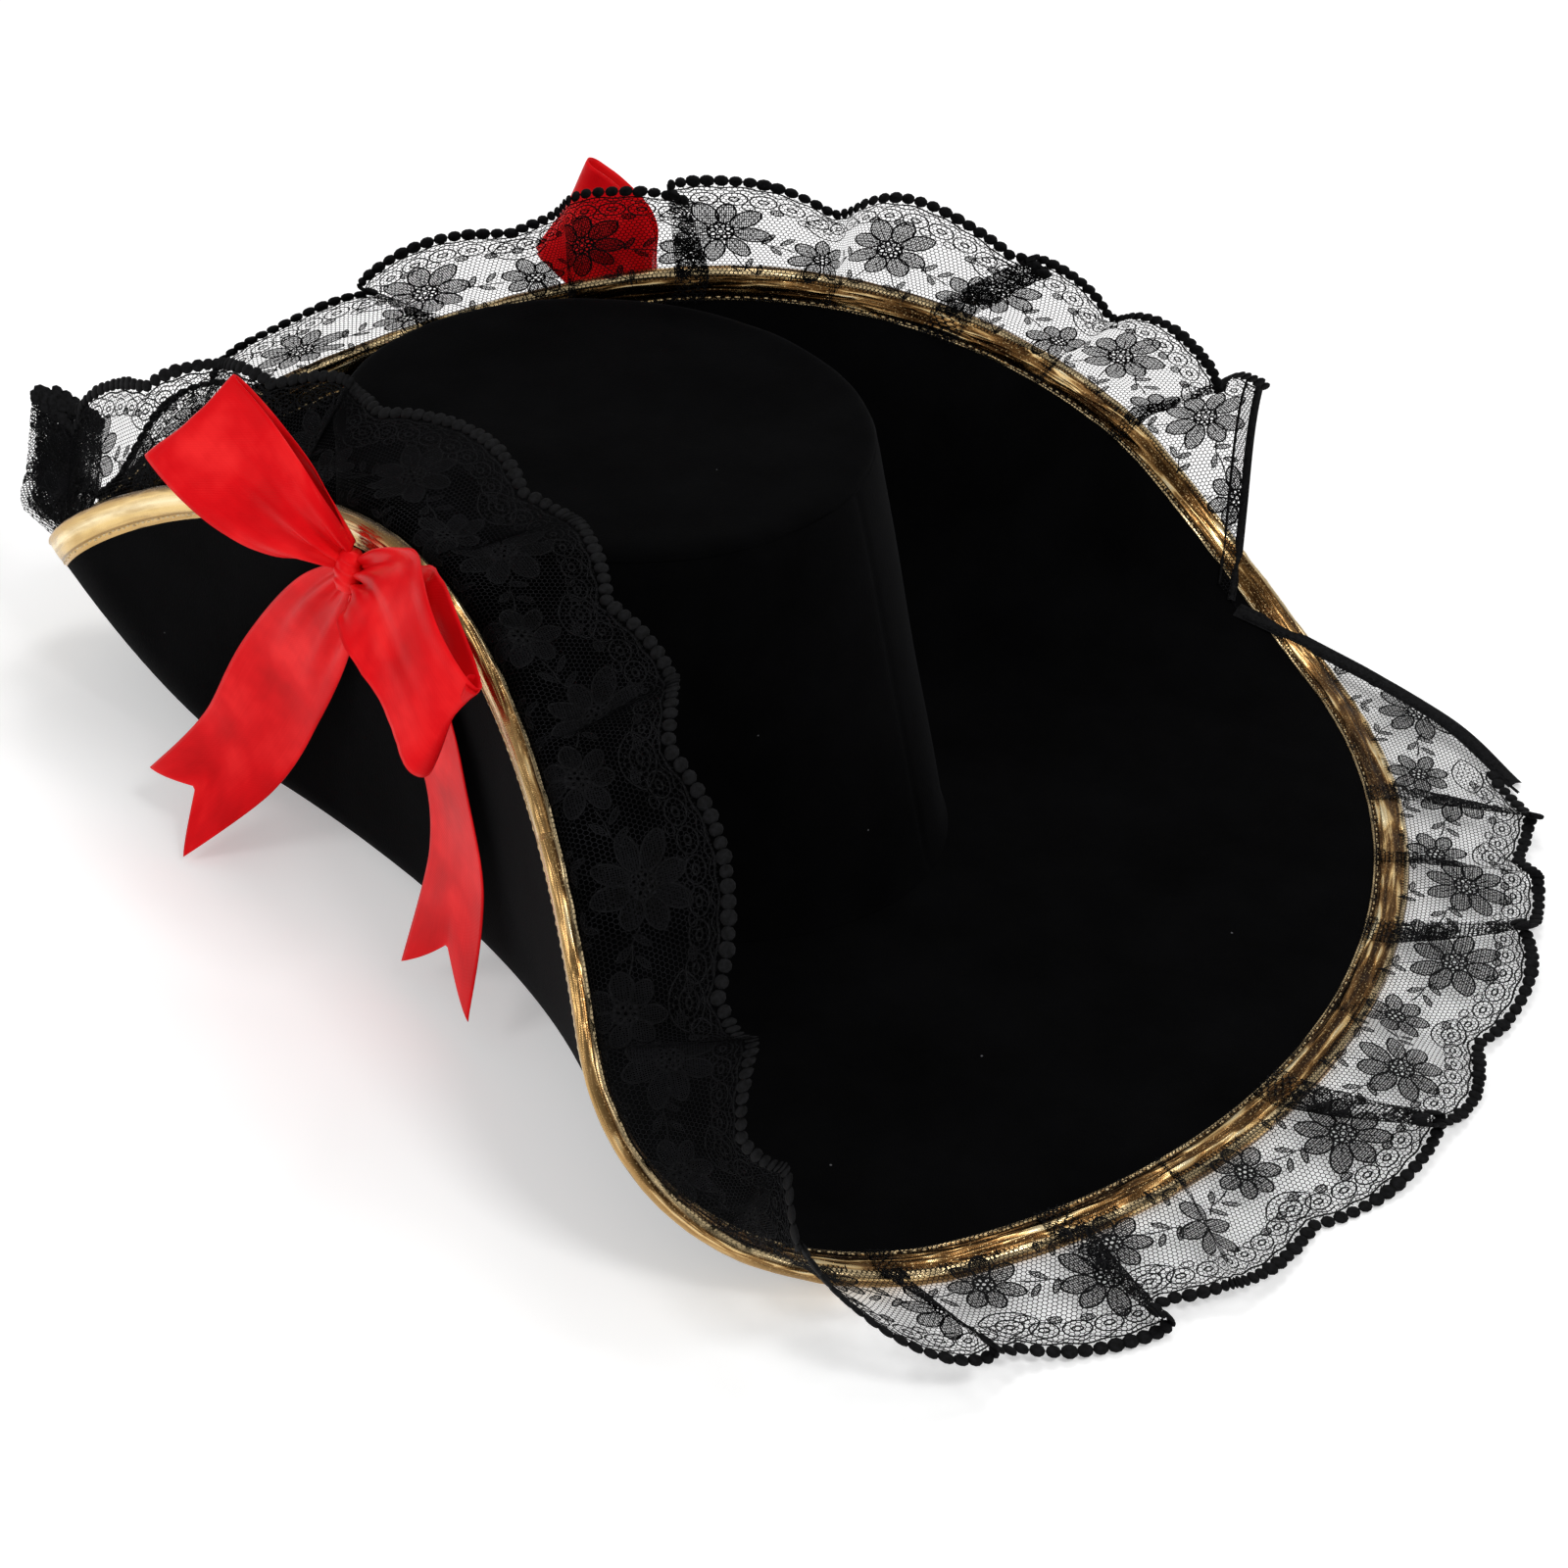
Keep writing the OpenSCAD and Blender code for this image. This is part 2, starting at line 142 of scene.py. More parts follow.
def smooth_noise(points, scale, seed=0.0):
    """Soft noise from -1 to 1 at points in mm, with features about scale mm wide."""
    flat = np.asarray(points, float).reshape(-1, 3) / scale
    values = [noise.noise(Vector((x + seed, y - seed, z + 2 * seed))) for x, y, z in flat]
    return np.array(values).reshape(np.asarray(points).shape[:-1])


# -------------------- mesh helpers
def new_object(name, points, faces, uv=None):
    """A mesh object from points in mm. uv gives one (u, v) for each point."""
    mesh = bpy.data.meshes.new(name)
    mesh.from_pydata((np.asarray(points, float) * MM).tolist(), [], [list(map(int, f)) for f in faces])
    if uv is not None:
        layer = mesh.uv_layers.new(name="UVMap")
        loops = np.zeros(len(mesh.loops), np.int32)
        mesh.loops.foreach_get("vertex_index", loops)
        layer.data.foreach_set("uv", np.asarray(uv, np.float32)[loops].ravel())
    mesh.polygons.foreach_set("use_smooth", [True] * len(mesh.polygons))
    mesh.update()
    o = bpy.data.objects.new(name, mesh)
    bpy.context.scene.collection.objects.link(o)
    return o


def grid_faces(nu, nv, ring_u=False, ring_v=False, start=0, flip=False):
    i, j = grid(np.arange(nu - (not ring_u)), np.arange(nv - (not ring_v)))
    i, j = i.ravel(), j.ravel()
    i1, j1 = (i + 1) % nu, (j + 1) % nv
    f = np.stack([i * nv + j, i1 * nv + j, i1 * nv + j1, i * nv + j1], -1) + start
    return f[:, ::-1] if flip else f


def grid_object(name, points, ring_u=False, ring_v=False, uv=None, flip=False):
    nu, nv = points.shape[:2]
    return new_object(name, points.reshape(-1, 3), grid_faces(nu, nv, ring_u, ring_v, flip=flip),
                      None if uv is None else np.asarray(uv).reshape(-1, 2))


def thin_solid(name, top, low, uv=None, flip=False):
    """A closed thin piece between two open grids."""
    nu, nv = top.shape[:2]
    n = nu * nv
    faces = [grid_faces(nu, nv), grid_faces(nu, nv, start=n, flip=True)]
    i, j = np.arange(nu - 1), np.arange(nv - 1)
    for a, b in ((i * nv, (i + 1) * nv), ((i + 1) * nv + nv - 1, i * nv + nv - 1),
                 (j + 1, j), ((nu - 1) * nv + j, (nu - 1) * nv + j + 1)):
        faces.append(np.stack([b, a, a + n, b + n], -1))
    faces = np.concatenate(faces)
    if flip:
        faces = faces[:, ::-1]
    both = None if uv is None else np.concatenate([uv.reshape(-1, 2)] * 2)
    return new_object(name, np.concatenate([top.reshape(-1, 3), low.reshape(-1, 3)]), faces, both)


# -------------------- materials
class Shader:
    """A Principled material and short ways to add nodes to it."""

    def __init__(self, name, **values):
        self.material = bpy.data.materials.new(name)
        self.material.use_nodes = True
        self.tree = self.material.node_tree
        self.bsdf = next(n for n in self.tree.nodes if n.type == "BSDF_PRINCIPLED")
        for key, value in values.items():
            self.bsdf.inputs[key.replace("_", " ")].default_value = value

    def node(self, kind, links=(), **settings):
        n = self.tree.nodes.new(kind)
        for key, value in settings.items():
            if hasattr(n, key):
                setattr(n, key, value)
            else:
                n.inputs[key.replace("_", " ")].default_value = value
        for name, source in dict(links).items():
            self.tree.links.new(source, n.inputs[name])
        return n

    def put(self, socket, value):
        """Sets a socket's value, or links another node's output to it."""
        if isinstance(value, (int, float, tuple)):
            socket.default_value = value
        else:
            self.tree.links.new(value, socket)

    def math(self, operation, *values):
        n = self.node("ShaderNodeMath", operation=operation)
        for socket, value in zip(n.inputs, values):
            self.put(socket, value)
        return n.outputs[0]

    def vector(self, operation, *values):
        n = self.node("ShaderNodeVectorMath", operation=operation)
        for socket, value in zip(n.inputs, values):
            self.put(socket, value)
        return n.outputs["Value" if operation == "DOT_PRODUCT" else 0]

    def coords(self, kind="Object"):
        return self.node("ShaderNodeTexCoord").outputs[kind]

    def noise(self, scale, detail=3.0, roughness=0.5, at=None, **more):
        links = {"Vector": self.coords() if at is None else at}
        n = self.node("ShaderNodeTexNoise", links, Scale=scale, Detail=detail, Roughness=roughness, **more)
        return n.outputs["Fac"]

    def stretched(self, at, stretch, detail, roughness=0.5, scale=1.0, **more):
        """Noise on UV in mm, with its own scale along and across."""
        place = self.node("ShaderNodeMapping", {"Vector": at}, Scale=(*stretch, 1)).outputs[0]
        return self.noise(scale, detail, roughness, place, **more)

    def ramp(self, source, stops):
        n = self.node("ShaderNodeValToRGB", {"Fac": source})
        ramp = n.color_ramp
        while len(ramp.elements) < len(stops):
            ramp.elements.new(0.5)
        for e, (at, colour) in zip(ramp.elements, stops):
            e.position = at
            e.color = (*colour, 1)
        return n.outputs["Color"]

    def wave(self, scale, direction, at=None, **more):
        links = {"Vector": self.coords() if at is None else at}
        n = self.node("ShaderNodeTexWave", links, Scale=scale, bands_direction=direction, **more)
        return n.outputs["Fac"]

    def product(self, a, b):
        return self.math("MULTIPLY", a, b)

    def range(self, source, a, b, c=0.0, d=1.0):
        n = self.node("ShaderNodeMapRange", {"Value": source})
        for name, v in (("From Min", a), ("From Max", b), ("To Min", c), ("To Max", d)):
            n.inputs[name].default_value = v
        return n.outputs[0]

    def mix(self, share, a, b):
        n = self.node("ShaderNodeMix", data_type="RGBA")
        for key, value in ((0, share), (6, a), (7, b)):
            self.put(n.inputs[key], (*value, 1) if isinstance(value, tuple) else value)
        return n.outputs[2]

    def colour(self, source):
        self.put(self.bsdf.inputs["Base Color"], source)

    def rough(self, source):
        self.put(self.bsdf.inputs["Roughness"], source)

    def alpha(self, source):
        self.put(self.bsdf.inputs["Alpha"], source)

    def bump(self, height, strength, distance, normal=None):
        n = self.node("ShaderNodeBump", {"Height": height}, Strength=strength, Distance=distance)
        if normal is not None:
            self.tree.links.new(normal, n.inputs["Normal"])
        self.put(self.bsdf.inputs["Normal"], n.outputs[0])
        return n.outputs[0]


def velvet():
    s = Shader("velvet", Roughness=0.9, Specular_IOR_Level=0.03, Sheen_Weight=0.03, Sheen_Roughness=0.3,
               Sheen_Tint=(0.55, 0.56, 0.6, 1))
    nap = s.noise(26, 4, 0.6)
    pile = s.noise(1400, 2, 0.7)
    base = s.ramp(nap, [(0.3, (0.0006, 0.0006, 0.0007)), (0.75, (0.0022, 0.0022, 0.0025))])
    cells = s.node("ShaderNodeTexVoronoi", {"Vector": s.coords()}, Scale=75.0)
    speck = s.math("LESS_THAN", cells.outputs["Distance"], 0.028)
    fuzz = s.node("ShaderNodeSeparateColor", {"Color": cells.outputs["Color"]}).outputs[0]
    rare = s.product(speck, s.math("GREATER_THAN", fuzz, 0.80))
    s.colour(s.mix(rare, base, (0.10, 0.10, 0.105)))
    first = s.bump(pile, 0.5, 0.0004)
    s.bump(s.noise(18, 3, 0.5), 0.18, 0.004, first)
    return s.material


def gold_tape():
    """UV in mm: x along the tape, y 0-10 the inner face, 10-17 the rolled edge, 17-25 the outer face."""
    s = Shader("gold_tape", Metallic=1.0, Roughness=0.26, Specular_IOR_Level=0.5)
    at = s.coords("UV")
    across = s.node("ShaderNodeSeparateXYZ", {"Vector": at}).outputs[1]
    streak = s.stretched(at, (0.030, 0.42), 2, Distortion=0.5)
    patch = s.stretched(at, (0.055, 0.16), 2, Distortion=0.6)
    grain = s.stretched(at, (1.6, 2.4), 3, 0.6)
    # Sparse bright spots: painted glints, mixed into the inner face below.
    painted_glints = s.range(s.stretched(at, (1.1, 1.9), 1), 0.60, 0.72, 0.0, 0.55)
    tone = s.math("ADD", s.product(streak, 0.6), s.product(patch, 0.4))
    # Inner face: painted reflections in the colour, dark brown streaks where the metal would mirror dark
    # surroundings, with bright gold between them.
    painted_reflections = s.ramp(tone, [
        (0.42, (0.040, 0.018, 0.006)), (0.51, (0.14, 0.068, 0.021)), (0.555, (0.32, 0.17, 0.058)),
        (0.585, (0.85, 0.58, 0.25)), (0.66, (1.0, 0.86, 0.56))])
    painted_reflections = s.mix(painted_glints, painted_reflections, (0.95, 0.68, 0.32))
    # Outer face: a painted highlight band across its middle, with painted shade towards both of its edges.
    padded = s.ramp(s.range(across, 16.0, 25.0), [
        (0.0, (0.50, 0.31, 0.13)), (0.22, (0.86, 0.62, 0.27)), (0.42, (1.0, 0.84, 0.52)),
        (0.62, (0.84, 0.60, 0.25)), (1.0, (0.60, 0.38, 0.14))])
    # Painted dark reflections on the outer face as well, from the same streaks.
    smooth = s.mix(s.range(tone, 0.44, 0.58, 0.55, 0.0), padded, (0.45, 0.27, 0.09))
    sewn = s.product(s.range(across, 23.2, 23.5, 0, 0.75), s.range(across, 24.2, 23.9))
    smooth = s.mix(sewn, smooth, (0.20, 0.11, 0.035))
    outer = s.range(across, 13.0, 16.5)
    # A painted highlight along the rolled edge and along the tape's inner edge.
    rim = s.product(s.range(across, 10.0, 10.6, 0, 0.8), s.range(across, 12.8, 11.8))
    lit = s.math("MAXIMUM", s.range(across, 1.1, 0.7, 0.0, 0.7), rim)
    s.colour(s.mix(outer, s.mix(lit, painted_reflections, (0.95, 0.74, 0.42)), smooth))
    s.rough(s.range(grain, 0.3, 0.7, 0.20, 0.32))
    first = s.bump(s.wave(0.9, "DIAGONAL", at, Distortion=0.4), 0.08, 0.0002)
    s.bump(tone, 0.6, 0.0030, first)
    return s.material


def gold_thread():
    s = Shader("gold_thread", Roughness=0.5, Sheen_Weight=0.3)
    s.colour(s.ramp(s.noise(900, 2), [(0.35, (0.50, 0.34, 0.14)), (0.7, (0.82, 0.66, 0.36))]))
    return s.material


def satin():
    s = Shader("satin_ribbon", Roughness=0.32, Specular_IOR_Level=0.14, Specular_Tint=(1, 0.25, 0.22, 1),
               Anisotropic=0.5)
    at = s.coords("UV")
    twill = s.wave(0.62, "DIAGONAL", at, Distortion=0.25)
    warp = s.stretched(at, (0.05, 1.4), 3, 0.6, scale=0.9)
    tone = s.math("ADD", s.product(s.noise(0.04, 3, 0.5, at), 0.92), s.product(warp, 0.08))
    s.colour(s.ramp(tone, [(0.34, (0.62, 0.003, 0.006)), (0.5, (0.78, 0.005, 0.009)),
                           (0.66, (0.95, 0.020, 0.022))]))
    s.rough(s.range(twill, 0, 1, 0.31, 0.41))
    first = s.bump(twill, 0.10, 0.0002)
    second = s.bump(warp, 0.06, 0.0006, first)
    s.bump(s.noise(14, 3, 0.5), 0.12, 0.004, second)
    return s.material


def hex_net(s, cell, width):
    """Alpha of a hexagonal net on UV in mm: 1 on the threads."""
    at = s.vector("ADD", s.vector("MULTIPLY", s.coords("UV"), (1 / cell, 1 / cell, 0)), (4000.0, 4000.0, 0))
    box, half = (1.0, math.sqrt(3), 1.0), (0.5, math.sqrt(3) / 2, 0.5)
    a = s.vector("SUBTRACT", s.vector("MODULO", at, box), half)
    b = s.vector("SUBTRACT", s.vector("MODULO", s.vector("ADD", at, half), box), half)
    flat = (1.0, 1.0, 0.0)
    a, b = (s.vector("MULTIPLY", s.vector("ABSOLUTE", v), flat) for v in (a, b))

    def reach(v):
        x = s.node("ShaderNodeSeparateXYZ", {"Vector": v}).outputs[0]
        return s.math("MAXIMUM", x, s.vector("DOT_PRODUCT", v, (0.5, math.sqrt(3) / 2, 0)))
    near = s.math("MINIMUM", reach(a), reach(b))
    return s.range(near, 0.5 - width / cell, 0.5 - 0.6 * width / cell)


def black_thread(s, scale, light):
    """Near-black with faint lighter fibres."""
    s.colour(s.ramp(s.noise(scale, 2), [(0.3, (0.002, 0.002, 0.002)), (0.7, (light, light, light + 0.001))]))


def lace_net():
    s = Shader("lace_net", Roughness=0.8, Specular_IOR_Level=0.05)
    s.alpha(hex_net(s, 1.5, 0.17))
    black_thread(s, 60, 0.006)
    return s.material


def lace_fill():
    s = Shader("lace_fill", Roughness=0.8, Specular_IOR_Level=0.05)
    split = s.node("ShaderNodeSeparateXYZ", {"Vector": s.coords("UV")})
    cells = [s.math("FRACT", s.product(split.outputs[i], per_mm)) for i, per_mm in ((0, 1.55), (1, 1.35))]
    lines = [s.math("ABSOLUTE", s.math("SUBTRACT", cell, 0.5)) for cell in cells]
    weave = s.math("MAXIMUM", s.math("GREATER_THAN", lines[0], 0.33), s.math("GREATER_THAN", lines[1], 0.33))
    s.alpha(s.math("MAXIMUM", weave, 0.2))
    black_thread(s, 90, 0.007)
    return s.material


def lace_thread():
    s = Shader("lace_thread", Roughness=0.7, Specular_IOR_Level=0.08)
    black_thread(s, 700, 0.008)
    s.bump(s.noise(1500, 2), 0.4, 0.0003)
    return s.material


def plain_cloth(name, dark, light, rib=0.0):
    s = Shader(name, Roughness=0.8, Sheen_Weight=0.1)
    fine = s.noise(900, 3, 0.7)
    s.colour(s.ramp(fine, [(0.3, dark), (0.7, light)]))
    if rib:
        s.bump(s.wave(rib, "Z"), 0.5, 0.0006)
    else:
        s.bump(s.math("MAXIMUM", s.wave(320, "X"), s.wave(320, "Y")), 0.4, 0.0004)
    return s.material


def floor_material():
    return Shader("floor", Base_Color=(0.86, 0.86, 0.86, 1), Roughness=0.9, Specular_IOR_Level=0.1,
                  Emission_Color=(1, 1, 1, 1), Emission_Strength=0.35).material


VELVET, GOLD, THREAD, SATIN = velvet(), gold_tape(), gold_thread(), satin()
NET, FILL, CORD = lace_net(), lace_fill(), lace_thread()
BUCKRAM = plain_cloth("buckram", (0.020, 0.020, 0.022), (0.055, 0.055, 0.058))
BAND = plain_cloth("sweatband", (0.010, 0.010, 0.011), (0.030, 0.030, 0.032), rib=160)
FOAM = plain_cloth("foam_board", (0.05, 0.05, 0.055), (0.10, 0.10, 0.105))


def finish_piece(o, material, slot, *replaced, body="hat"):
    o.data.materials.append(material)
    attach(o, body)
    if replaced:
        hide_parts(*replaced)
    return o


# -------------------- brim
AROUND = 360
BRIM_ROWS = 72
HALF_BOARD = 1.2
turn = np.radians(np.arange(AROUND) * 360 / AROUND)


def brim_pieces():
    """The velvet on both faces, soft with ripples, and the foam board between them."""
    k = np.linspace(0, 1, BRIM_ROWS)
    a, kk = grid(turn, k)
    flat = brim_point(a, kk)
    ups = fold_up(flat)
    top, low = (skin(flat, np.full(a.shape, h)) for h in (HALF_STACK, -HALF_STACK))
    fade = np.clip(k * 6, 0, 1) * np.clip((1 - k) * 9, 0, 1)
    ripple = ups * (smooth_noise(top, 48, 3.1) * 0.35 * fade)[..., None]
    for face, points, flip in (("top", top + ripple, False), ("under", low + ripple * 0.6, True)):
        points[..., 2] = np.maximum(points[..., 2], 0.1)
        o = grid_object(f"brim_{face}_velvet", points, ring_u=True, flip=flip)
        finish_piece(o, VELVET, "velvet", f"brim_{face}_cloth")
    a, kk = grid(turn[::2], np.linspace(0.004, 0.998, 60))
    flat = brim_point(a, kk)
    top, low = (skin(flat, np.full(a.shape, h)) for h in (HALF_BOARD, -HALF_BOARD))
    o = grid_object("brim_foam", np.concatenate([top, low[:, ::-1]], 1), ring_u=True, ring_v=True)
    finish_piece(o, FOAM, "foam_board", "brim_stiffener")


brim_pieces()


# -------------------- gold tape round the edge
def tape_surface(a, q, h, out):
    """A point on the tape: q from its inner edge (0) to the brim's edge (1)."""
    k = tape_start(a) + (1 - tape_start(a)) * q
    away = unit(fold(edge_point(a, 1.0)) - fold(edge_point(a, -1.0)))
    return skin(brim_point(a, k), h) + away * np.asarray(out)[..., None]


def edge_length(a):
    p = skin(edge_point(a))
    step = np.linalg.norm(np.diff(p, axis=0), axis=1)
    return np.concatenate([[0], np.cumsum(step)])


OUTER_Q = 0.18


def binding():
    n = 900
    a = np.radians(np.linspace(0, 360, n + 1))
    along = edge_length(a)
    a = a[:-1]
    section = []
    for q in (0.0, 0.04, 0.10, 0.16, 0.25, 0.38, 0.52, 0.66, 0.80, 0.92):
        dip = 0.42 * math.exp(-((q - 0.13) / 0.05) ** 2)
        puff = 0.75 * math.sin(math.pi * min(max((q - 0.13) / 0.87, 0), 1)) ** 0.7
        section.append((q, 2.35 + puff - dip if q > 0 else 1.95, 0.0))
    roll = [(1.0, 2.75 * math.cos(t), 2.1 * math.sin(t) - 0.4) for t in np.linspace(0.25, math.pi - 0.25, 11)]
    # The tape reaches a little less far down the outer face, and lies flatter there.
    profile = section + roll + [(OUTER_Q + (1 - OUTER_Q) * q, -1.95 - 0.5 * (h - 1.95), out)
                                for q, h, out in reversed(section)]
    m = len(profile)
    aa = np.repeat(a[:, None], m, 1)
    q, h, out = (np.array([p[k] for p in profile])[None] + 0 * aa for k in range(3))
    steps = [math.hypot((p2[0] - p1[0]) * TAPE_W + p2[2] - p1[2], p2[1] - p1[1])
             for p1, p2 in zip(profile, profile[1:])]
    v = np.concatenate([[0], np.cumsum(steps)])
    uv = np.stack([np.repeat(along[:-1, None], m, 1), np.repeat(v[None], n, 0)], -1)
    place = np.stack([uv[..., 0] + uv[..., 1] * 0.8, uv[..., 1] * 0.55, 0 * uv[..., 0]], -1)
    crinkle = smooth_noise(place, 7.0, 11.3) * 0.34 + smooth_noise(place, 2.6, 5.7) * 0.12
    loose = np.interp(v / v[-1], [0, 0.05, 0.12, 0.25, 0.5, 0.75, 0.88, 0.95, 1],
                      [0.1, 0.3, 0.2, 1, 0.8, 0.3, 0.1, 0.1, 0.1])
    h = h + np.sign(h) * crinkle * loose[None] * (np.abs(h) > 1.2)
    out = out + crinkle * loose[None] * (out > 0.4)
    points = tape_surface(aa, q, h, out)
    points[..., 2] = np.maximum(points[..., 2], 0.0)
    o = grid_object("edge_tape", points, ring_u=True, uv=uv, flip=True)
    finish_piece(o, GOLD, "gold_tape", "edge_binding")


binding()


def stitches():
    """Rows of separate stitches near both edges of the tape."""
    fine = np.radians(np.linspace(0, 360, 4321))
    along = edge_length(fine)
    pitch, stitch, thick = 3.3, 2.6, 0.26
    count = int(along[-1] / pitch)
    points, faces = [], []
    ring, steps = 5, 5
    for side in (1, -1):
        reach = np.linspace(-stitch / 2, stitch / 2, steps)
        a = np.interp((np.arange(count)[:, None] * pitch + reach) % along[-1], along, fine)
        rise = np.array([-0.25, 0.12, 0.2, 0.12, -0.25])[None] + 0 * a
        sway = 0.02 * np.sin(np.arange(count) * 2.4)[:, None]
        q = 0.13 if side > 0 else OUTER_Q + 0.16 * (1 - OUTER_Q)
        base = tape_surface(a, q + sway + 0 * a, side * (2.08 + rise), 0 * a)
        up = fold_up(brim_point(a, tape_start(a))) * side
        along_dir = unit(np.gradient(base, axis=1))
        cross = np.cross(along_dir, up)
        t = np.linspace(0, 2 * math.pi, ring, endpoint=False)
        body = np.array([0.5, 1, 1.05, 1, 0.5])[None, :, None, None]
        tube = (base[:, :, None] + body * thick * (cross[:, :, None] * np.cos(t)[:, None]
                + up[:, :, None] * np.sin(t)[:, None] * 0.8))
        for c in range(count):
            start = ring * steps * len(points)
            points.append(tube[c].reshape(-1, 3))
            faces.append(grid_faces(steps, ring, ring_v=True, start=start))
            faces.append(np.array([[start, start + 1, start + 2, start + 3]]))
            last = start + (steps - 1) * ring
            faces.append(np.array([[last + 3, last + 2, last + 1, last]]))
    o = new_object("tape_stitches", np.concatenate(points), [f for group in faces for f in group])
    finish_piece(o, THREAD, "gold_thread", "binding_stitches")


stitches()


# -------------------- crown
def crown_point(a, z, out=0.0):
    s = np.asarray(z, float) / CROWN_H
    x = (HEAD_W * (1 - s) + TOP_W * s + out) * np.cos(a)
    y = (HEAD_L * (1 - s) + TOP_L * s + out) * np.sin(a) - CROWN_LEAN * s
    return np.stack([x, y, np.asarray(z, float) + 0 * x], -1)


def outward(a):
    return unit(np.stack([np.cos(a) / HEAD_W, np.sin(a) / HEAD_L, 0 * a], -1))


def crown_foot(gap):
    """Height of the crown's lower edge, a gap above the brim."""
    return skin(hole_point(turn, 0.5), np.full(turn.shape, HALF_STACK))[:, 2] + gap


def crown():
    base = crown_foot(0.2)
    a, s = grid(turn, np.linspace(0, 1, 46))
    z = base[:, None] * (1 - s) + (CROWN_H - 4.2) * s
    flare = 1.1 * np.exp(-s * 40) - 0.5 * np.exp(-((1 - s) / 0.02) ** 2)
    p = crown_point(a, z, flare)
    wave = smooth_noise(p, 62, 7.7) * 1.1 + smooth_noise(p * [1, 1, 0.35], 30, 2.2) * 0.45
    p = p + outward(a) * (wave * np.sin(np.pi * s) ** 0.6)[..., None]
    seam = 0.4 * np.exp(-((np.degrees(a) - 90) / 1.1) ** 2)
    p = p - outward(a) * seam[..., None]
    o = grid_object("crown_side_velvet", p, ring_u=True)
    finish_piece(o, VELVET, "velvet", "crown_side")
    rim = [(0.15, 5.0), (-0.6, 4.5), (0.0, 3.9), (0.0, 3.2), (0.5, 2.3), (1.5, 1.4), (3.0, 0.8), (5.5, 0.4),
           (9.0, 0.15), (14.0, 0.0)]
    inner = [(14.0 + (TOP_W - 14.5) * t, 0.0) for t in np.linspace(0.06, 0.97, 26)]
    rings = rim + inner
    inset, drop = np.array([r[0] for r in rings]), np.array([r[1] for r in rings])
    a, i = grid(turn, np.arange(len(rings)))
    share = 1 - inset[i] / TOP_W
    p = np.stack([TOP_W * share * np.cos(a), TOP_L * share * np.sin(a) - CROWN_LEAN, CROWN_H - drop[i]], -1)
    soft = np.clip((inset[i] - 2) / 12, 0, 1)
    sag = smooth_noise(p, 55, 4.4) * 1.3 + smooth_noise(p, 21, 9.4) * 0.3
    p[..., 2] += soft * (sag - 0.9) + 0.3 * smooth_noise(p, 12, 1.2) * np.clip(1 - soft, 0, 1)
    flat = p.reshape(-1, 3)
    middle = np.array([[0, -CROWN_LEAN, CROWN_H - 0.9]])
    nr = len(rings)
    faces = [list(f) for f in grid_faces(AROUND, nr, ring_u=True)]
    last = len(flat)
    faces += [[k * nr + nr - 1, ((k + 1) % AROUND) * nr + nr - 1, last] for k in range(AROUND)]
    o = new_object("crown_tip_velvet", np.concatenate([flat, middle]), faces)
    finish_piece(o, VELVET, "velvet", "crown_tip")


crown()


def inside_of_crown():
    """The stiffened lining of the crown and the sweatband, seen only from below."""
    base = crown_foot(0.4)
    a, ss = grid(turn, np.linspace(0, 1, 24))
    z = base[:, None] * (1 - ss) + (CROWN_H - 6.0) * ss
    wave = smooth_noise(crown_point(a, z), 70, 12.2) * 0.35
    outer, inner = crown_point(a, z, -0.95 + 0 * wave), crown_point(a, z, -1.9 + wave)
    section = np.concatenate([outer, inner[:, ::-1]], 1)
    o = grid_object("crown_side_buckram", section, ring_u=True, ring_v=True)
    finish_piece(o, BUCKRAM, "buckram", "crown_side_lining")
    a, ss = grid(turn[::2], np.linspace(0.02, 0.97, 30))
    layers = []
    for h in (CROWN_H - 2.2, CROWN_H - 3.2):
        p = np.stack([TOP_W * ss * np.cos(a), -CROWN_LEAN + TOP_L * ss * np.sin(a), h + 0 * a], -1)
        p[..., 2] += smooth_noise(p * [1, 1, 0], 60, 3.3) * 0.3 - 1.6 * np.clip((ss - 0.93) / 0.04, 0, 1) ** 2
        layers.append(p)
    section = np.concatenate([layers[1], layers[0][:, ::-1]], 1)
    o = grid_object("crown_tip_buckram", section, ring_u=True, ring_v=True)
    finish_piece(o, BUCKRAM, "buckram", "crown_tip_lining")
    profile = [(-3.0, 0.9), (-3.3, 0.6), (-3.8, 0.6), (-4.1, 1.0), (-4.2, 3.0), (-3.9, 10.0), (-3.7, 20.0),
               (-3.8, 27.0), (-3.9, 29.6), (-3.5, 30.2), (-3.1, 29.6), (-2.95, 20.0), (-2.9, 8.0)]
    a, j = grid(turn, np.arange(len(profile)))
    out, z = np.array([p[0] for p in profile])[j], np.array([p[1] for p in profile])[j]
    p = crown_point(a, z, out)
    p = p + outward(a) * (smooth_noise(p, 25, 6.1) * 0.25)[..., None]
    o = grid_object("sweat_band", p, ring_u=True, ring_v=True)
    finish_piece(o, BAND, "sweatband", "sweatband")


inside_of_crown()


# -------------------- lace
# Angle round the brim, and the lace's lean from the brim's own surface there, in degrees.
LEAN = np.array([
    (-100, 36), (-80, 34), (-70, 28), (-62, 26), (-55, 36), (-45, 58), (-38, 68), (-28, 78), (-10, 76),
    (10, 66), (24, 45), (36, 8), (50, -4), (110, -4), (130, 0), (150, 12), (172, 45), (195, 24), (215, 22),
    (235, 36), (248, 56), (258, 76), (280, 80)], float)
SEWN, REACH = 10.0, 46.0
WIDTH = SEWN + REACH
REPEAT = 66.0
EDGE_DEEP = 7.5
TAB = 5.0


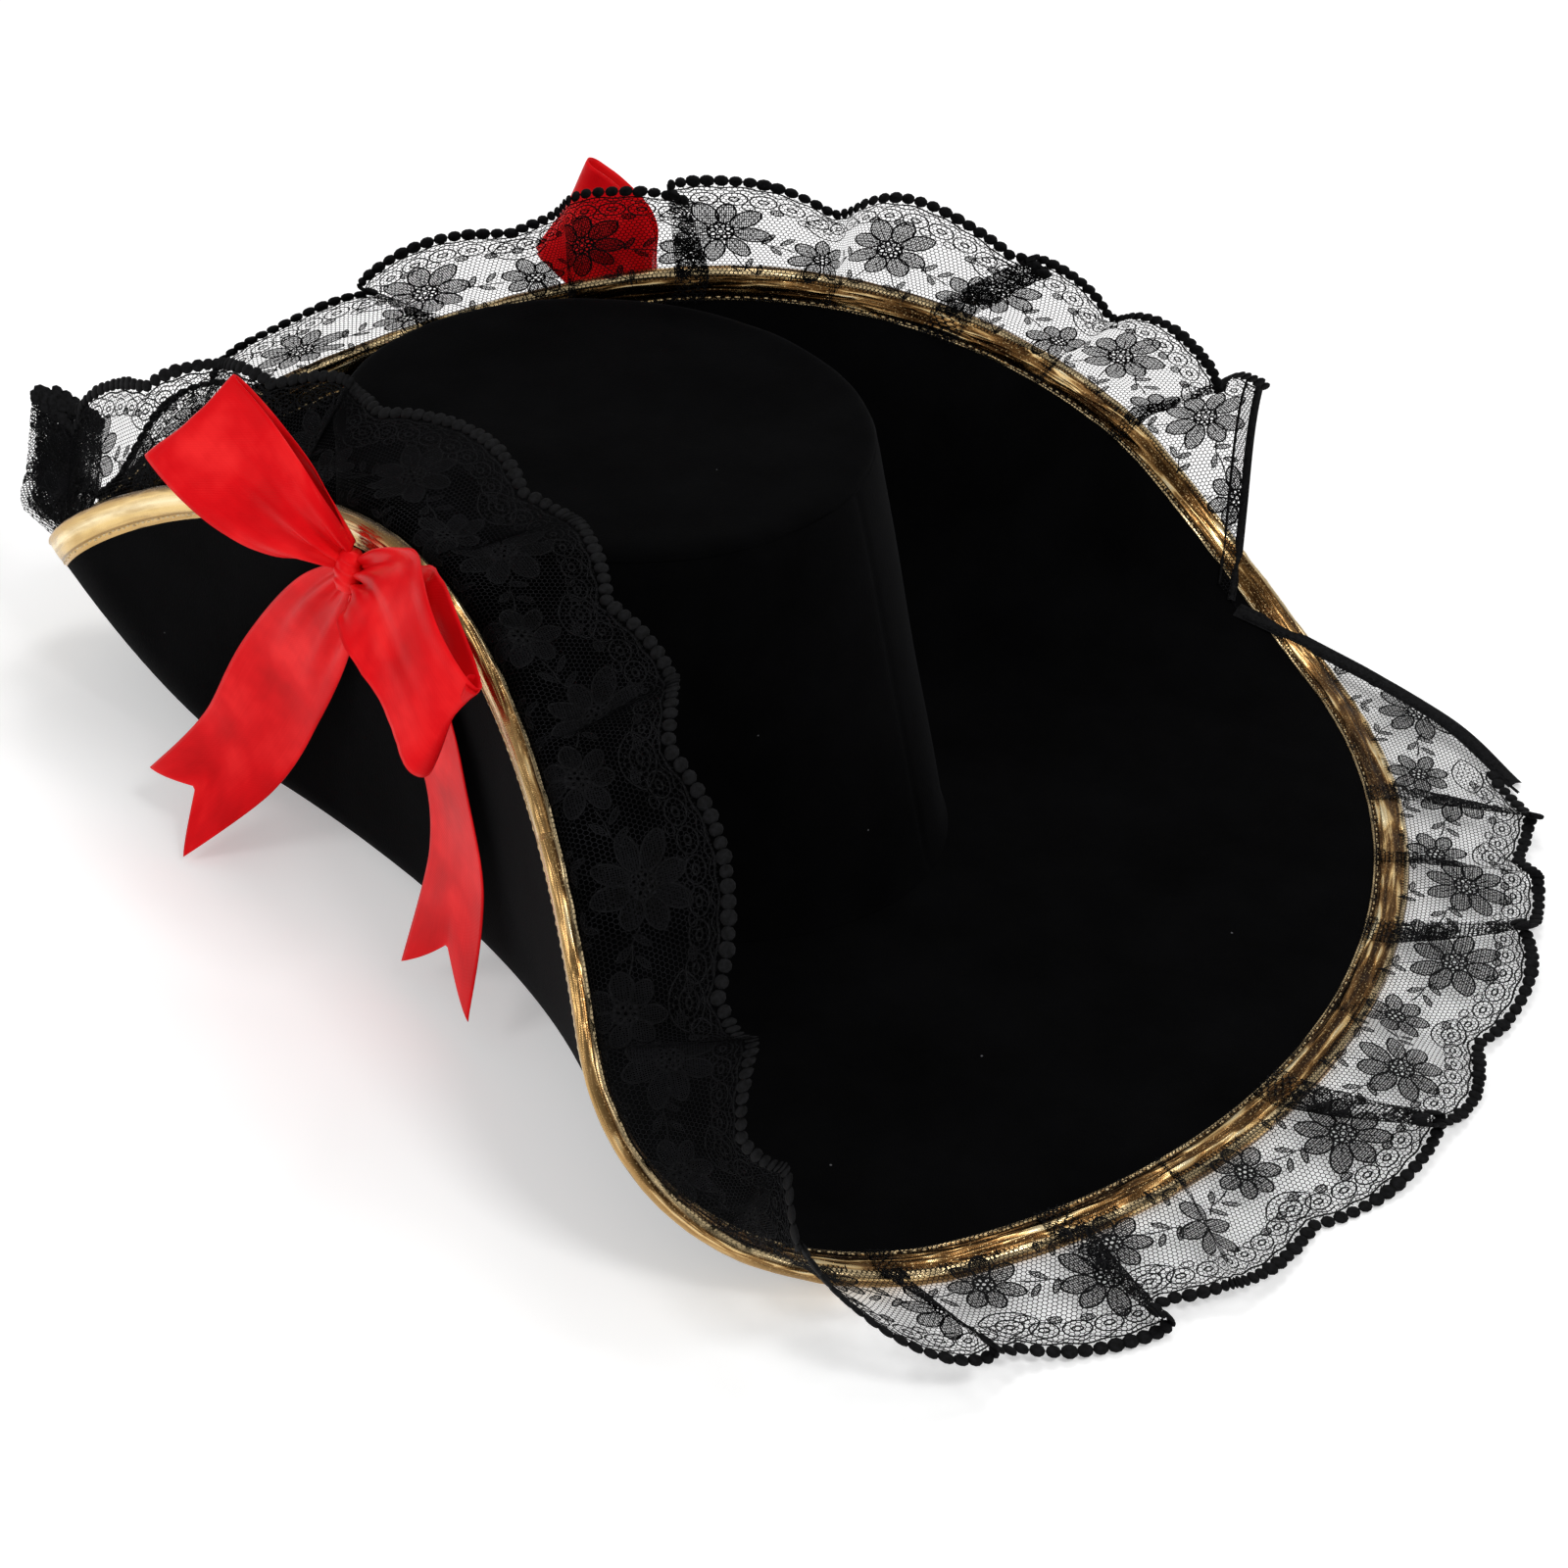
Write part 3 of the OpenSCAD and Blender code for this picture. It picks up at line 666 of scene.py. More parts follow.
class Strip:
    """One length of lace: s along it and t across it (mm) to a point in space, with pleats and end folds."""

    def __init__(self, a0, a1, pleats, ends, seed):
        """ends: for each end, how far the cloth runs on past the seam's end, how deep its folds are there,
        how many times it is folded to and fro, and how far its cut edge slants."""
        fine = np.radians(np.linspace(a0, a1, 1600))
        edge = edge_point(fine)
        self.seam = skin(edge, np.full(fine.shape, 2.75))
        self.under = skin(brim_point(fine, tape_start(fine)), np.full(fine.shape, 2.5))
        away = unit(fold(edge_point(fine, 1.0)) - fold(edge_point(fine, -1.0)))
        up = fold_up(edge)
        lean = np.interp(np.degrees(fine), LEAN[:, 0], LEAN[:, 1])
        kernel = np.exp(-np.linspace(-2, 2, 61) ** 2)
        lean = np.convolve(np.pad(lean, 30, mode="edge"), kernel / kernel.sum(), mode="valid")
        self.lean, self.away, self.up = np.radians(lean), away, up
        step = np.linalg.norm(np.diff(self.seam, axis=0), axis=1)
        self.along = np.concatenate([[0], np.cumsum(step)])
        self.start, self.stop = 0.0, self.along[-1]
        self.pleats = [(np.interp(math.radians(a), fine, self.along), take, wide, skew, lift)
                       for a, take, wide, skew, lift in pleats]
        self.seed, self.ends = seed, ends
        # The length of cloth is the seam, the folds at the ends and what the pleats take in.
        extra = [room + back * folds for room, back, folds, _ in ends]
        self.first = self.start - extra[0]
        self.pleat_s = []
        s, last = extra[0], self.start
        for at, take, wide, skew, lift in self.pleats:
            s += at - last + take / 2
            self.pleat_s.append(s)
            s += take / 2
            last = at
        self.total = s + self.stop - last + extra[1]

    def span(self, t):
        """First and last s of the cloth at t across it: its cut edges may slant."""
        share = np.clip((np.asarray(t, float) + TAB) / (WIDTH + TAB), 0, 1.1)
        return self.ends[0][3] * share, self.total - self.ends[1][3] * share

    def seam_place(self, s, v):
        """Distance along the seam for cloth position s, and how far the cloth is lifted by its pleats."""
        place = self.first + np.asarray(s, float)
        lift = 0 * place
        for (at, take, wide, skew, high), middle in zip(self.pleats, self.pleat_s):
            x = s - middle - skew * v
            w = wide * (1 + 1.1 * v)
            place = place - take * 0.5 * (1 + np.tanh(x / w))
            lift = lift + high * (0.14 + 0.86 * v ** 1.3) * np.exp(-((x - 0.5 * w) / (1.5 * w)) ** 2)
        return place, lift

    def point(self, s, t, h=0.0):
        s, t = np.broadcast_arrays(np.asarray(s, float), np.asarray(t, float))
        v = np.clip((t - SEWN) / REACH, 0, 1.25)
        place, lift = self.seam_place(s, v)
        for end, (room, back, folds, slant) in zip((-1, 1), self.ends):
            limit = (self.stop + room) if end > 0 else (self.start - room)
            over = (place - limit) * end
            if folds:
                there = back - np.abs(np.mod(over, 2 * back) - back)
                place = np.where(over > 0, limit - end * there, place)
                for k in range(folds):
                    lift = lift + np.clip((over - k * back) / 2.0 + 0.5, 0, 1) * 1.1
        def at(table):
            if table.ndim == 1:
                return np.interp(place, self.along, table)
            return np.stack([np.interp(place, self.along, table[:, k]) for k in range(3)], -1)
        beyond = np.clip(place - self.along[-1], 0, None) - np.clip(-place, 0, None)
        away, up, lean = unit(at(self.away)), unit(at(self.up)), at(self.lean)
        seam, under = at(self.seam), at(self.under)
        onward = np.array([0, -1, 0.25]) * (1 if self.ends[1][0] else -1)
        seam = seam + beyond[..., None] * onward
        # The lace swings from flat on the tape to its full lean over its first few millimetres.
        swing = np.clip(v * REACH / 14.0, 0, 1)
        swing = swing * swing * (3 - 2 * swing)
        d = lean * (0.35 + 0.65 * swing)
        wave = 1.6 * np.sin(s / 17.0 + self.seed) * v + 1.0 * np.sin(s / 7.3 + 2.1 * self.seed) * v ** 1.5
        rise = lift + wave * np.clip(v * 2, 0, 1)
        flat_out = away * np.cos(d)[..., None] + up * np.sin(d)[..., None]
        normal = up * np.cos(d)[..., None] - away * np.sin(d)[..., None]
        on_tape = np.clip(t / SEWN, -0.8, 1)[..., None]
        base = under * (1 - on_tape) + seam * on_tape
        p = base + flat_out * (v * REACH)[..., None] + normal * (rise + h)[..., None]
        # Nothing goes through the table the hat stands on.
        floor = 0.35 + np.clip(rise, 0, None) * 0.55 + np.clip(np.asarray(h), 0, None) * 0.8
        eased = floor + np.exp(np.minimum(p[..., 2] - floor - 1.0, 0))
        p[..., 2] = np.where(p[..., 2] < floor + 1.0, eased, p[..., 2])
        return p

    def edge(self, s):
        """How far across the lace its scalloped edge lies."""
        u = (np.asarray(s, float) / REPEAT + 0.5) % 1 - 0.5
        return WIDTH - 2.2 - EDGE_DEEP * np.abs(2 * u) ** 1.8


def oval(cx, cy, rx, ry, tilt=0.0, n=14, pointed=0.0):
    t = np.linspace(0, 2 * math.pi, n, endpoint=False)
    x, y = rx * np.cos(t), ry * np.sin(t) * (1 - pointed * np.abs(np.cos(t)) ** 3)
    c, s = math.cos(tilt), math.sin(tilt)
    return np.stack([cx + x * c - y * s, cy + x * s + y * c], -1)


def motif(rng):
    """One repeat of the pattern, centred on s = 0: closed outlines, filled shapes and open lines."""
    outlines, fills, lines = [], [], []

    def flower(cx, cy, r0, r1, petals, turn0, fat, eyes):
        for k in range(petals):
            a = turn0 + 2 * math.pi * k / petals + rng.uniform(-0.09, 0.09)
            reach = r1 * rng.uniform(0.88, 1.08)
            mid = (r0 + reach) / 2
            o = oval(cx + mid * math.cos(a), cy + mid * math.sin(a), (reach - r0) / 2,
                     fat * rng.uniform(0.9, 1.1), a, 16, 0.25)
            outlines.append((o, 0.6))
            fills.append(o)
            vein = [[cx + r * math.cos(a), cy + r * math.sin(a)] for r in np.linspace(r0, mid, 4)]
            lines.append((np.array(vein), 0.3))
        for k in range(eyes):
            a = 2 * math.pi * k / eyes + 0.3
            x, y = cx + r0 * 0.66 * math.cos(a), cy + r0 * 0.66 * math.sin(a)
            outlines.append((oval(x, y, 1.0, 0.85, a, 8), 0.75))
        outlines.append((oval(cx, cy, 0.9, 0.9, 0, 8), 0.65))
        outlines.append((oval(cx, cy, r0 * 1.05, r0 * 1.05, 0, 18), 0.7))

    def leaf(cx, cy, size, tilt, wide=0.34):
        o = oval(cx, cy, size / 2, size * wide / 2, tilt, 12, 0.6)
        outlines.append((o, 0.42))
        fills.append(o)

    flower(0.0, 30.0, 3.8, 14.6, 8, 0.2, 3.2, 8)
    flower(REPEAT * 0.5, 20.0, 2.9, 11.0, 7, 0.5, 2.7, 6)
    # Leaf sprays on stems between the flowers, and from them to the tape.
    for side in (-1, 1):
        stem = np.array([(side * x, y) for x, y in ((11, 27), (15, 24), (19, 23.5), (23, 22))], float)
        lines.append((stem, 0.5))
        for x, y, size, tilt in ((14.5, 27.0, 6.0, 0.9), (17.5, 21.5, 5.5, -0.8), (20.5, 26.5, 5.5, 0.7)):
            leaf(side * x, y, size, side * tilt)
        stem = np.array([(side * x, y) for x, y in ((4, 19.5), (7, 14), (12, 10), (15, 4), (15.5, 0))], float)
        lines.append((stem, 0.42))
        for x, y, size, tilt in ((6.0, 12.5, 5.0, -0.2), (9.5, 14.5, 5.0, 1.2), (13.0, 12.0, 4.5, 1.4)):
            leaf(side * x, y, size, side * tilt)
        # A small sprig of short hatched stitches in a V.
        for k in range(4):
            x = side * (24.0 + 1.5 * k)
            lines.append((np.array([(x, 8.0 + 1.6 * k), (x + side * 0.2, 10.4 + 1.6 * k)]), 0.5))
    # A diamond of dotted net above the smaller flower.
    o = oval(REPEAT * 0.5, 37.0, 8.5, 5.2, 0.0, 18, 0.55)
    outlines.append((o, 0.5))
    for x in np.arange(-6.0, 6.1, 2.0):
        high = 4.0 * (1 - abs(x) / 9.0)
        for y in np.arange(-high, high + 0.1, 1.9):
            dot = [(REPEAT * 0.5 + x - 0.45, 37 + y), (REPEAT * 0.5 + x + 0.45, 37 + y + 0.3)]
            lines.append((np.array(dot), 0.5))
    return outlines, fills, lines


def thread_sides(points, width, closed):
    """The two sides of a flat thread along 2-D points."""
    p = np.asarray(points, float)
    ahead = np.roll(p, -1, 0) - np.roll(p, 1, 0) if closed else np.gradient(p, axis=0)
    n = unit(np.stack([-ahead[:, 1], ahead[:, 0]], -1)) * width / 2
    return p + n, p - n


class Builder:
    """Collects thread, fill and bead pieces for one strip, in (s, t, height)."""

    def __init__(self):
        self.points, self.faces, self.count = [], [], 0

    def add(self, points, faces):
        self.points.append(np.asarray(points, float))
        self.faces += (np.asarray(faces) + self.count).tolist()
        self.count += len(points)

    def thread(self, points, width, closed, high=0.22):
        left, right = thread_sides(points, width, closed)
        n = len(points)
        lines = (left, 0.02), (points, high), (right, 0.02)
        rows = np.stack([np.c_[line, np.full(n, h)] for line, h in lines], 1)
        self.add(rows.reshape(-1, 3), grid_faces(n, 3, ring_u=closed))

    def fill(self, outline, high=0.10):
        n = len(outline)
        centre = outline.mean(0)
        pts = np.concatenate([np.c_[outline, np.full(n, high)], [[*centre, high]]])
        self.add(pts, [[k, (k + 1) % n, n, n] for k in range(n)])

    def bead(self, cx, cy, rx, ry, tilt, high=0.85):
        """A padded bead: a low dome on both faces."""
        rings = ((1.0, 0.05), (0.93, 0.6), (0.6, 0.95))
        n = 10
        pts, faces = [], []
        for sign in (1, -1):
            start = len(pts)
            for scale, rise in rings:
                o = oval(0, 0, rx * scale, ry * scale, 0, n)
                pts += [(x, y, sign * high * rise) for x, y in o]
            pts.append((0, 0, sign * high))
            for r in range(2):
                for k in range(n):
                    a, b = start + r * n + k, start + r * n + (k + 1) % n
                    quad = [a, b, b + n, a + n]
                    faces.append(quad if sign > 0 else quad[::-1])
            top = start + 3 * n
            for k in range(n):
                tri = [start + 2 * n + k, start + 2 * n + (k + 1) % n, top, top]
                faces.append(tri if sign > 0 else tri[::-1])
        for k in range(n):
            a, b = k, (k + 1) % n
            c = 3 * n + 1
            faces.append([b, a, a + c, b + c])
        p = np.array(pts)
        c, s = math.cos(tilt), math.sin(tilt)
        p = np.stack([cx + p[:, 0] * c - p[:, 1] * s, cy + p[:, 0] * s + p[:, 1] * c, p[:, 2]], -1)
        self.add(p, faces)

    def object(self, name, strip, material):
        p = np.concatenate(self.points)
        faces = [f[:3] if f[2] == f[3] else f for f in self.faces]
        o = new_object(name, strip.point(p[:, 0], p[:, 1], p[:, 2]), faces, p[:, :2])
        return finish_piece(o, material, "lace")


def build_strip(name, strip, node, seed, hem, band):
    """hem is how wide the slanted end's hem is, and band how much of it is solid."""
    rng = np.random.default_rng(seed)
    total = strip.total
    # The net, up to the scalloped border. Its slanted ends and scallops are settled together, in steps.
    uu, vv = grid(np.linspace(0, 1, int(total / 1.2)), np.linspace(0, 1, 30))
    ss = uu * total
    for _ in range(6):
        tt = vv * (strip.edge(ss) - 2.6)
        lo, hi = strip.span(tt)
        ss = lo + uu * (hi - lo)
    sheets = [(ss, tt, strip.point(ss, tt))]
    for end in (0, 1):
        if strip.ends[end][3]:
            # The slanted cut edge is turned under in a hem, which ends in a tab on the velvet.
            inward, tt = grid(np.linspace(0, hem, 8), np.linspace(-TAB, WIDTH - 5, 60))
            ss = strip.span(tt)[end] + (1 - 2 * end) * inward
            sheets.append((ss, tt, strip.point(ss, tt, 0.6)))
    points, uv, faces, count = [], [], [], 0
    for k, (ss, tt, p) in enumerate(sheets):
        points.append(p.reshape(-1, 3))
        uv.append(np.stack([ss, tt + 0.7 * k], -1).reshape(-1, 2))
        faces.append(grid_faces(*ss.shape, start=count))
        count += ss.size
    net = new_object(name + "_net", *(np.concatenate(v) for v in (points, faces, uv)))
    cord, fill, beads = Builder(), Builder(), Builder()
    for k in range(-1, int(math.ceil(total / REPEAT + 0.5)) + 1):
        outlines, fills, lines = motif(rng)
        shift = np.array([k * REPEAT, 0.0])

        def inside(p):
            lo, hi = strip.span(p[:, 1])
            return (p[:, 0] - lo).min() > 0.6 and (hi - p[:, 0]).min() > 0.6
        for closed, threads in ((True, outlines), (False, lines)):
            for o, w in threads:
                if inside(o + shift):
                    cord.thread(o + shift, w, closed)
        for o in fills:
            if inside(o + shift):
                fill.fill(o + shift)
    # Border: beads, two wavy lines inside them, and a chain of ovals with hatched middles.
    lo, hi = (float(x) for x in strip.span(WIDTH - 5.0))
    at = np.arange(lo + 0.8, hi - 0.8, 0.9)
    edge = strip.edge(at)
    for low, w, swing, pace in ((3.2, 0.62, 0.35, 5.2), (4.6, 0.42, 0.55, 3.1)):
        line = np.stack([at, edge - low + swing * np.sin(at / pace * math.pi)], -1)
        cord.thread(line, w, False)
    bead_at = np.arange(lo + 1.5, hi - 1.2, 3.8)
    slope = strip.edge(bead_at + 0.5) - strip.edge(bead_at - 0.5)
    for x, k in zip(bead_at, slope):
        size = rng.uniform(0.88, 1.1)
        beads.bead(x, float(strip.edge(x)) - 0.3, 2.1 * size, 2.3 * size, math.atan(k))
    pace = REPEAT / 8
    for x in np.arange(lo + pace, hi - pace, pace):
        k = math.atan(float(strip.edge(x + 1) - strip.edge(x - 1)) / 2)
        y = float(strip.edge(x)) - 8.6
        cord.thread(oval(x, y, 3.9, 2.9, k, 14), 0.52, True)
        cord.thread(oval(x, y, 1.5, 0.9, k, 8), 0.6, True)
        if rng.random() < 0.5:
            fill.fill(oval(x + pace / 2, y - 2.6, 2.0, 1.3, k, 8))
        cord.thread(oval(x + pace / 2, y - 2.6, 2.0, 1.3, k, 8), 0.42, True)
    # The hems' solid lines at both cut ends.
    for end in (0, 1):
        slanted = strip.ends[end][3] > 0
        t = np.linspace(-TAB if slanted else 0.0, WIDTH - 3.0, 60)
        for inset, wide in ((band / 2, band), (hem - 0.5, 1.0)) if slanted else ((0.8, 1.6),):
            x = strip.span(t)[end] + (1 - 2 * end) * inset
            cord.thread(np.stack([x, t], -1), wide, False, high=0.9)
    pieces = [fill.object(name + "_petals", strip, FILL), cord.object(name + "_cordonnet", strip, CORD),
              beads.object(name + "_picots", strip, CORD)]
    finish_piece(net, NET, "lace", node)


# Each pleat: angle round the brim, cloth taken in, half width, slant towards the free edge, height.
LEFT_PLEATS = [
    (-58, 14, 5, 4, 4), (-44, 22, 5, -8, 5), (-24, 20, 6, 10, 5), (-6, 18, 5, -6, 6), (12, 18, 5, 8, 6),
    (27, 14, 5, -9, 5), (40, 20, 3.5, 14, 6), (54, 26, 4, 4, 7), (64, 16, 5, -18, 5), (77, 30, 3.5, 15, 8),
    (88, 14, 6, -10, 4), (99, 26, 3.5, 18, 7), (109, 20, 4, -4, 6), (118, 22, 3.5, -16, 7)]
RIGHT_PLEATS = [
    (167, 18, 3.5, 4, 7), (176, 14, 5, 8, 5), (186, 28, 3.5, -8, 8), (196, 14, 6, 6, 5), (208, 24, 3.5, 3, 7),
    (218, 16, 5, -8, 5), (229, 22, 4, 6, 5), (243, 22, 4, -5, 5)]
LEFT_LACE = Strip(-77, 147.3, LEFT_PLEATS, ((17.0, 36.0, 6, 0.0), (0.0, 0.0, 0, 112.0)), 0.7)
RIGHT_LACE = Strip(147.3, 262, RIGHT_PLEATS, ((0.0, 0.0, 0, 68.0), (5.0, 20.0, 1, 0.0)), 2.9)
build_strip("lace_left", LEFT_LACE, "lace_left_strip", seed=11, hem=8.0, band=6.2)
build_strip("lace_right", RIGHT_LACE, "lace_right_strip", seed=23, hem=10.0, band=3.0)


# -------------------- bows
BOW_A = np.array([SIN_T, COS_T, 0])
BOW_B = np.array([COS_T * math.cos(ANGLE), -SIN_T * math.cos(ANGLE), math.sin(ANGLE)])
BOW_C = np.cross(BOW_A, BOW_B)
KNOT_FLAT = edge_point(np.radians(-32.0), -18.0)
KNOT_ALONG = float(KNOT_FLAT @ BOW_A[:2])
KNOT_AT = skin(KNOT_FLAT, -HALF_STACK)
RIBBON_W, RIBBON_THICK = 38.0, 0.45
RIBBON_ROWS, RIBBON_COLUMNS = 110, 26
PLEATS = 3.0


def on_bow(q):
    q = np.asarray(q, float)
    shift = bend_radius(KNOT_ALONG + q[..., 0]) - bend_radius(KNOT_ALONG)
    return KNOT_AT + q[..., :1] * BOW_A + q[..., 1:2] * BOW_B + (q[..., 2:] + shift[..., None]) * BOW_C


def path_at(points, u):
    """Smooth path through given points, for u from 0 to the number of spans."""
    p = np.asarray(points, float)
    if p.ndim == 1:
        p = p[:, None]
    i = np.clip(np.floor(u).astype(int), 0, len(p) - 2)
    t = (u - i)[..., None]
    q0, q1, q2, q3 = p[np.maximum(i - 1, 0)], p[i], p[i + 1], p[np.minimum(i + 2, len(p) - 1)]
    return 0.5 * (2 * q1 + (q2 - q0) * t + (2 * q0 - 5 * q1 + 4 * q2 - q3) * t * t
                  + (3 * q1 - q0 - 3 * q2 + q3) * t ** 3)


def ribbon_piece(name, side, path, across, widths, notch, seed):
    """A ribbon along given points in bow axes. It gathers into pleats where it narrows to the knot."""
    spans = len(path) - 1
    i, j = grid(np.linspace(0, 1, RIBBON_ROWS), np.linspace(-1, 1, RIBBON_COLUMNS))
    u = spans * i - notch * np.clip(spans * i - spans + 1, 0, None) * (1 - np.abs(j))
    centre = path_at(path, u)
    over = unit(path_at(across, u))
    width = path_at(widths, u)[..., 0]
    along = unit(path_at(path, np.minimum(u + 0.03, spans)) - path_at(path, np.maximum(u - 0.03, 0)))
    over = unit(over - (over * along).sum(-1, keepdims=True) * along)
    normal = np.cross(over, along)
    spare = np.clip(1 - width, 0, 1)
    depth = RIBBON_W * 0.085 * spare * np.clip(1.4 - spare, 0.4, 1)
    ridge = np.sin(j * math.pi * PLEATS + seed + 1.1 * np.sin(3 * i + seed)) * depth
    ridge += 0.5 * np.sin(j * math.pi * (PLEATS + 2) + 2 * seed) * depth
    soft = 0.9 * np.sin(i * 9 + 2.2 * j + seed) * (1 - spare) + 0.5 * np.sin(i * 17 - 1.5 * j + 2 * seed)
    centre = centre + over * (j * RIBBON_W * width / 2)[..., None] + normal * (ridge + soft * 0.8)[..., None]
    p = on_bow(centre)
    n_out = unit(np.cross(np.gradient(p, axis=1), np.gradient(p, axis=0)))
    half = (RIBBON_THICK / 2 * (0.55 + 0.45 * np.clip((1 - np.abs(j)) / 0.06, 0, 1)))[..., None]
    top, low = p + n_out * half, p - n_out * half
    step = np.linalg.norm(np.diff(p.mean(1), axis=0), axis=1)
    length = np.concatenate([[0], np.cumsum(step)])
    uv = np.stack([length[:, None] + 0 * j, j * RIBBON_W / 2 + 40], -1)
    if side < 0:
        top, low = top * [-1, 1, 1], low * [-1, 1, 1]
    return thin_solid(name, top, low, uv, flip=side > 0), float(length[-1])


def loop(path, across, widths, opening):
    """A flattened loop round a middle line: out along its outer layer and back along the inner one."""
    u = (len(path) - 1) * np.sin(np.linspace(0, math.pi / 2, 12))
    middle, over, share = path_at(path, u), unit(path_at(across, u)), u / (len(path) - 1)
    normal = unit(np.cross(over, np.gradient(middle, axis=0)))
    normal *= np.sign(normal[:, 2:])
    apart = opening * (0.3 + 0.7 * np.sin(math.pi * np.minimum(share * 0.8, 0.5))) * np.sqrt(1 - share ** 6)
    out, back = middle + normal * apart[:, None], middle - normal * apart[:, None]
    wide = path_at(widths, u)[:, 0]
    both = (out, back), (over, over), (wide, wide)
    return [np.concatenate([there, then[-2::-1]]) for there, then in both]


# Each ribbon: part, body, its path, across-directions and widths (as shares), and seed. A loop also has how
# far it opens.
LEFT_LOOPS = [
    ("front_loop", "hat",
     *loop([[-4, 9, 5], [-15, 19, 13], [-35, 29, 17], [-57, 39, 16]],
           [[0.4, 0.9, -0.1], [0.5, 0.75, -0.4], [0.45, 0.65, -0.6], [0.5, 0.65, -0.5]],
           [0.3, 0.78, 0.95, 0.98], 3.4), 0.4),
    ("rear_loop", "rear_ribbon",
     *loop([[5, 5, 5.5], [37, 21, 15], [61, 18, 17], [77, 3, 14]],
           [[0.3, 0.9, -0.2], [0.65, 0.5, -0.45], [0.6, 0.6, -0.45], [0.25, 0.9, -0.35]],
           [0.3, 0.85, 0.95, 1], 4.6), 1.7)]
RIGHT_LOOPS = [
    ("front_loop", "hat",
     *loop([[-4, 9, 5], [-13, 19, 10], [-23, 29, 12], [-31, 35, 12]],
           [[0.4, 0.9, 0], [0.7, 0.7, 0], [0.55, 0.8, 0], [0.45, 0.9, 0]], [0.3, 0.9, 1, 1], 5.0), 0.4),
    ("rear_loop", "rear_ribbon",
     *loop([[5, 3, 6], [27, -2, 12], [50, -9, 13], [66, -13, 12]],
           [[0.2, 1, 0], [0.5, 0.9, -0.1], [0.6, 0.8, -0.2], [0.6, 0.8, -0.2]],
           [0.3, 0.75, 0.95, 1], 6.0), 1.7)]
TAILS = [
    ("front_tail", "front_tail",
     [[-4, 0, 4], [-21, -22, 4], [-39, -52, 8], [-53, -82, 17], [-72, -108, 33]],
     [[0.8, -0.5, 0], [1, -0.2, 0], [1, -0.05, 0], [1, -0.2, 0.05], [0.8, -0.35, 0.5]],
     [0.3, 0.75, 1, 1, 1], 2.6),
    ("rear_tail", "rear_ribbon",
     [[4, 0, 2.6], [25, -12, 2.6], [43, -40, 3], [53, -72, 6], [57, -108, 19]],
     [[0.8, 0.6, 0], [0.8, 0.6, 0], [0.85, 0.55, 0], [0.85, 0.5, -0.1], [0.95, 0.25, -0.25]],
     [0.3, 0.8, 1, 1, 1], 4.2)]


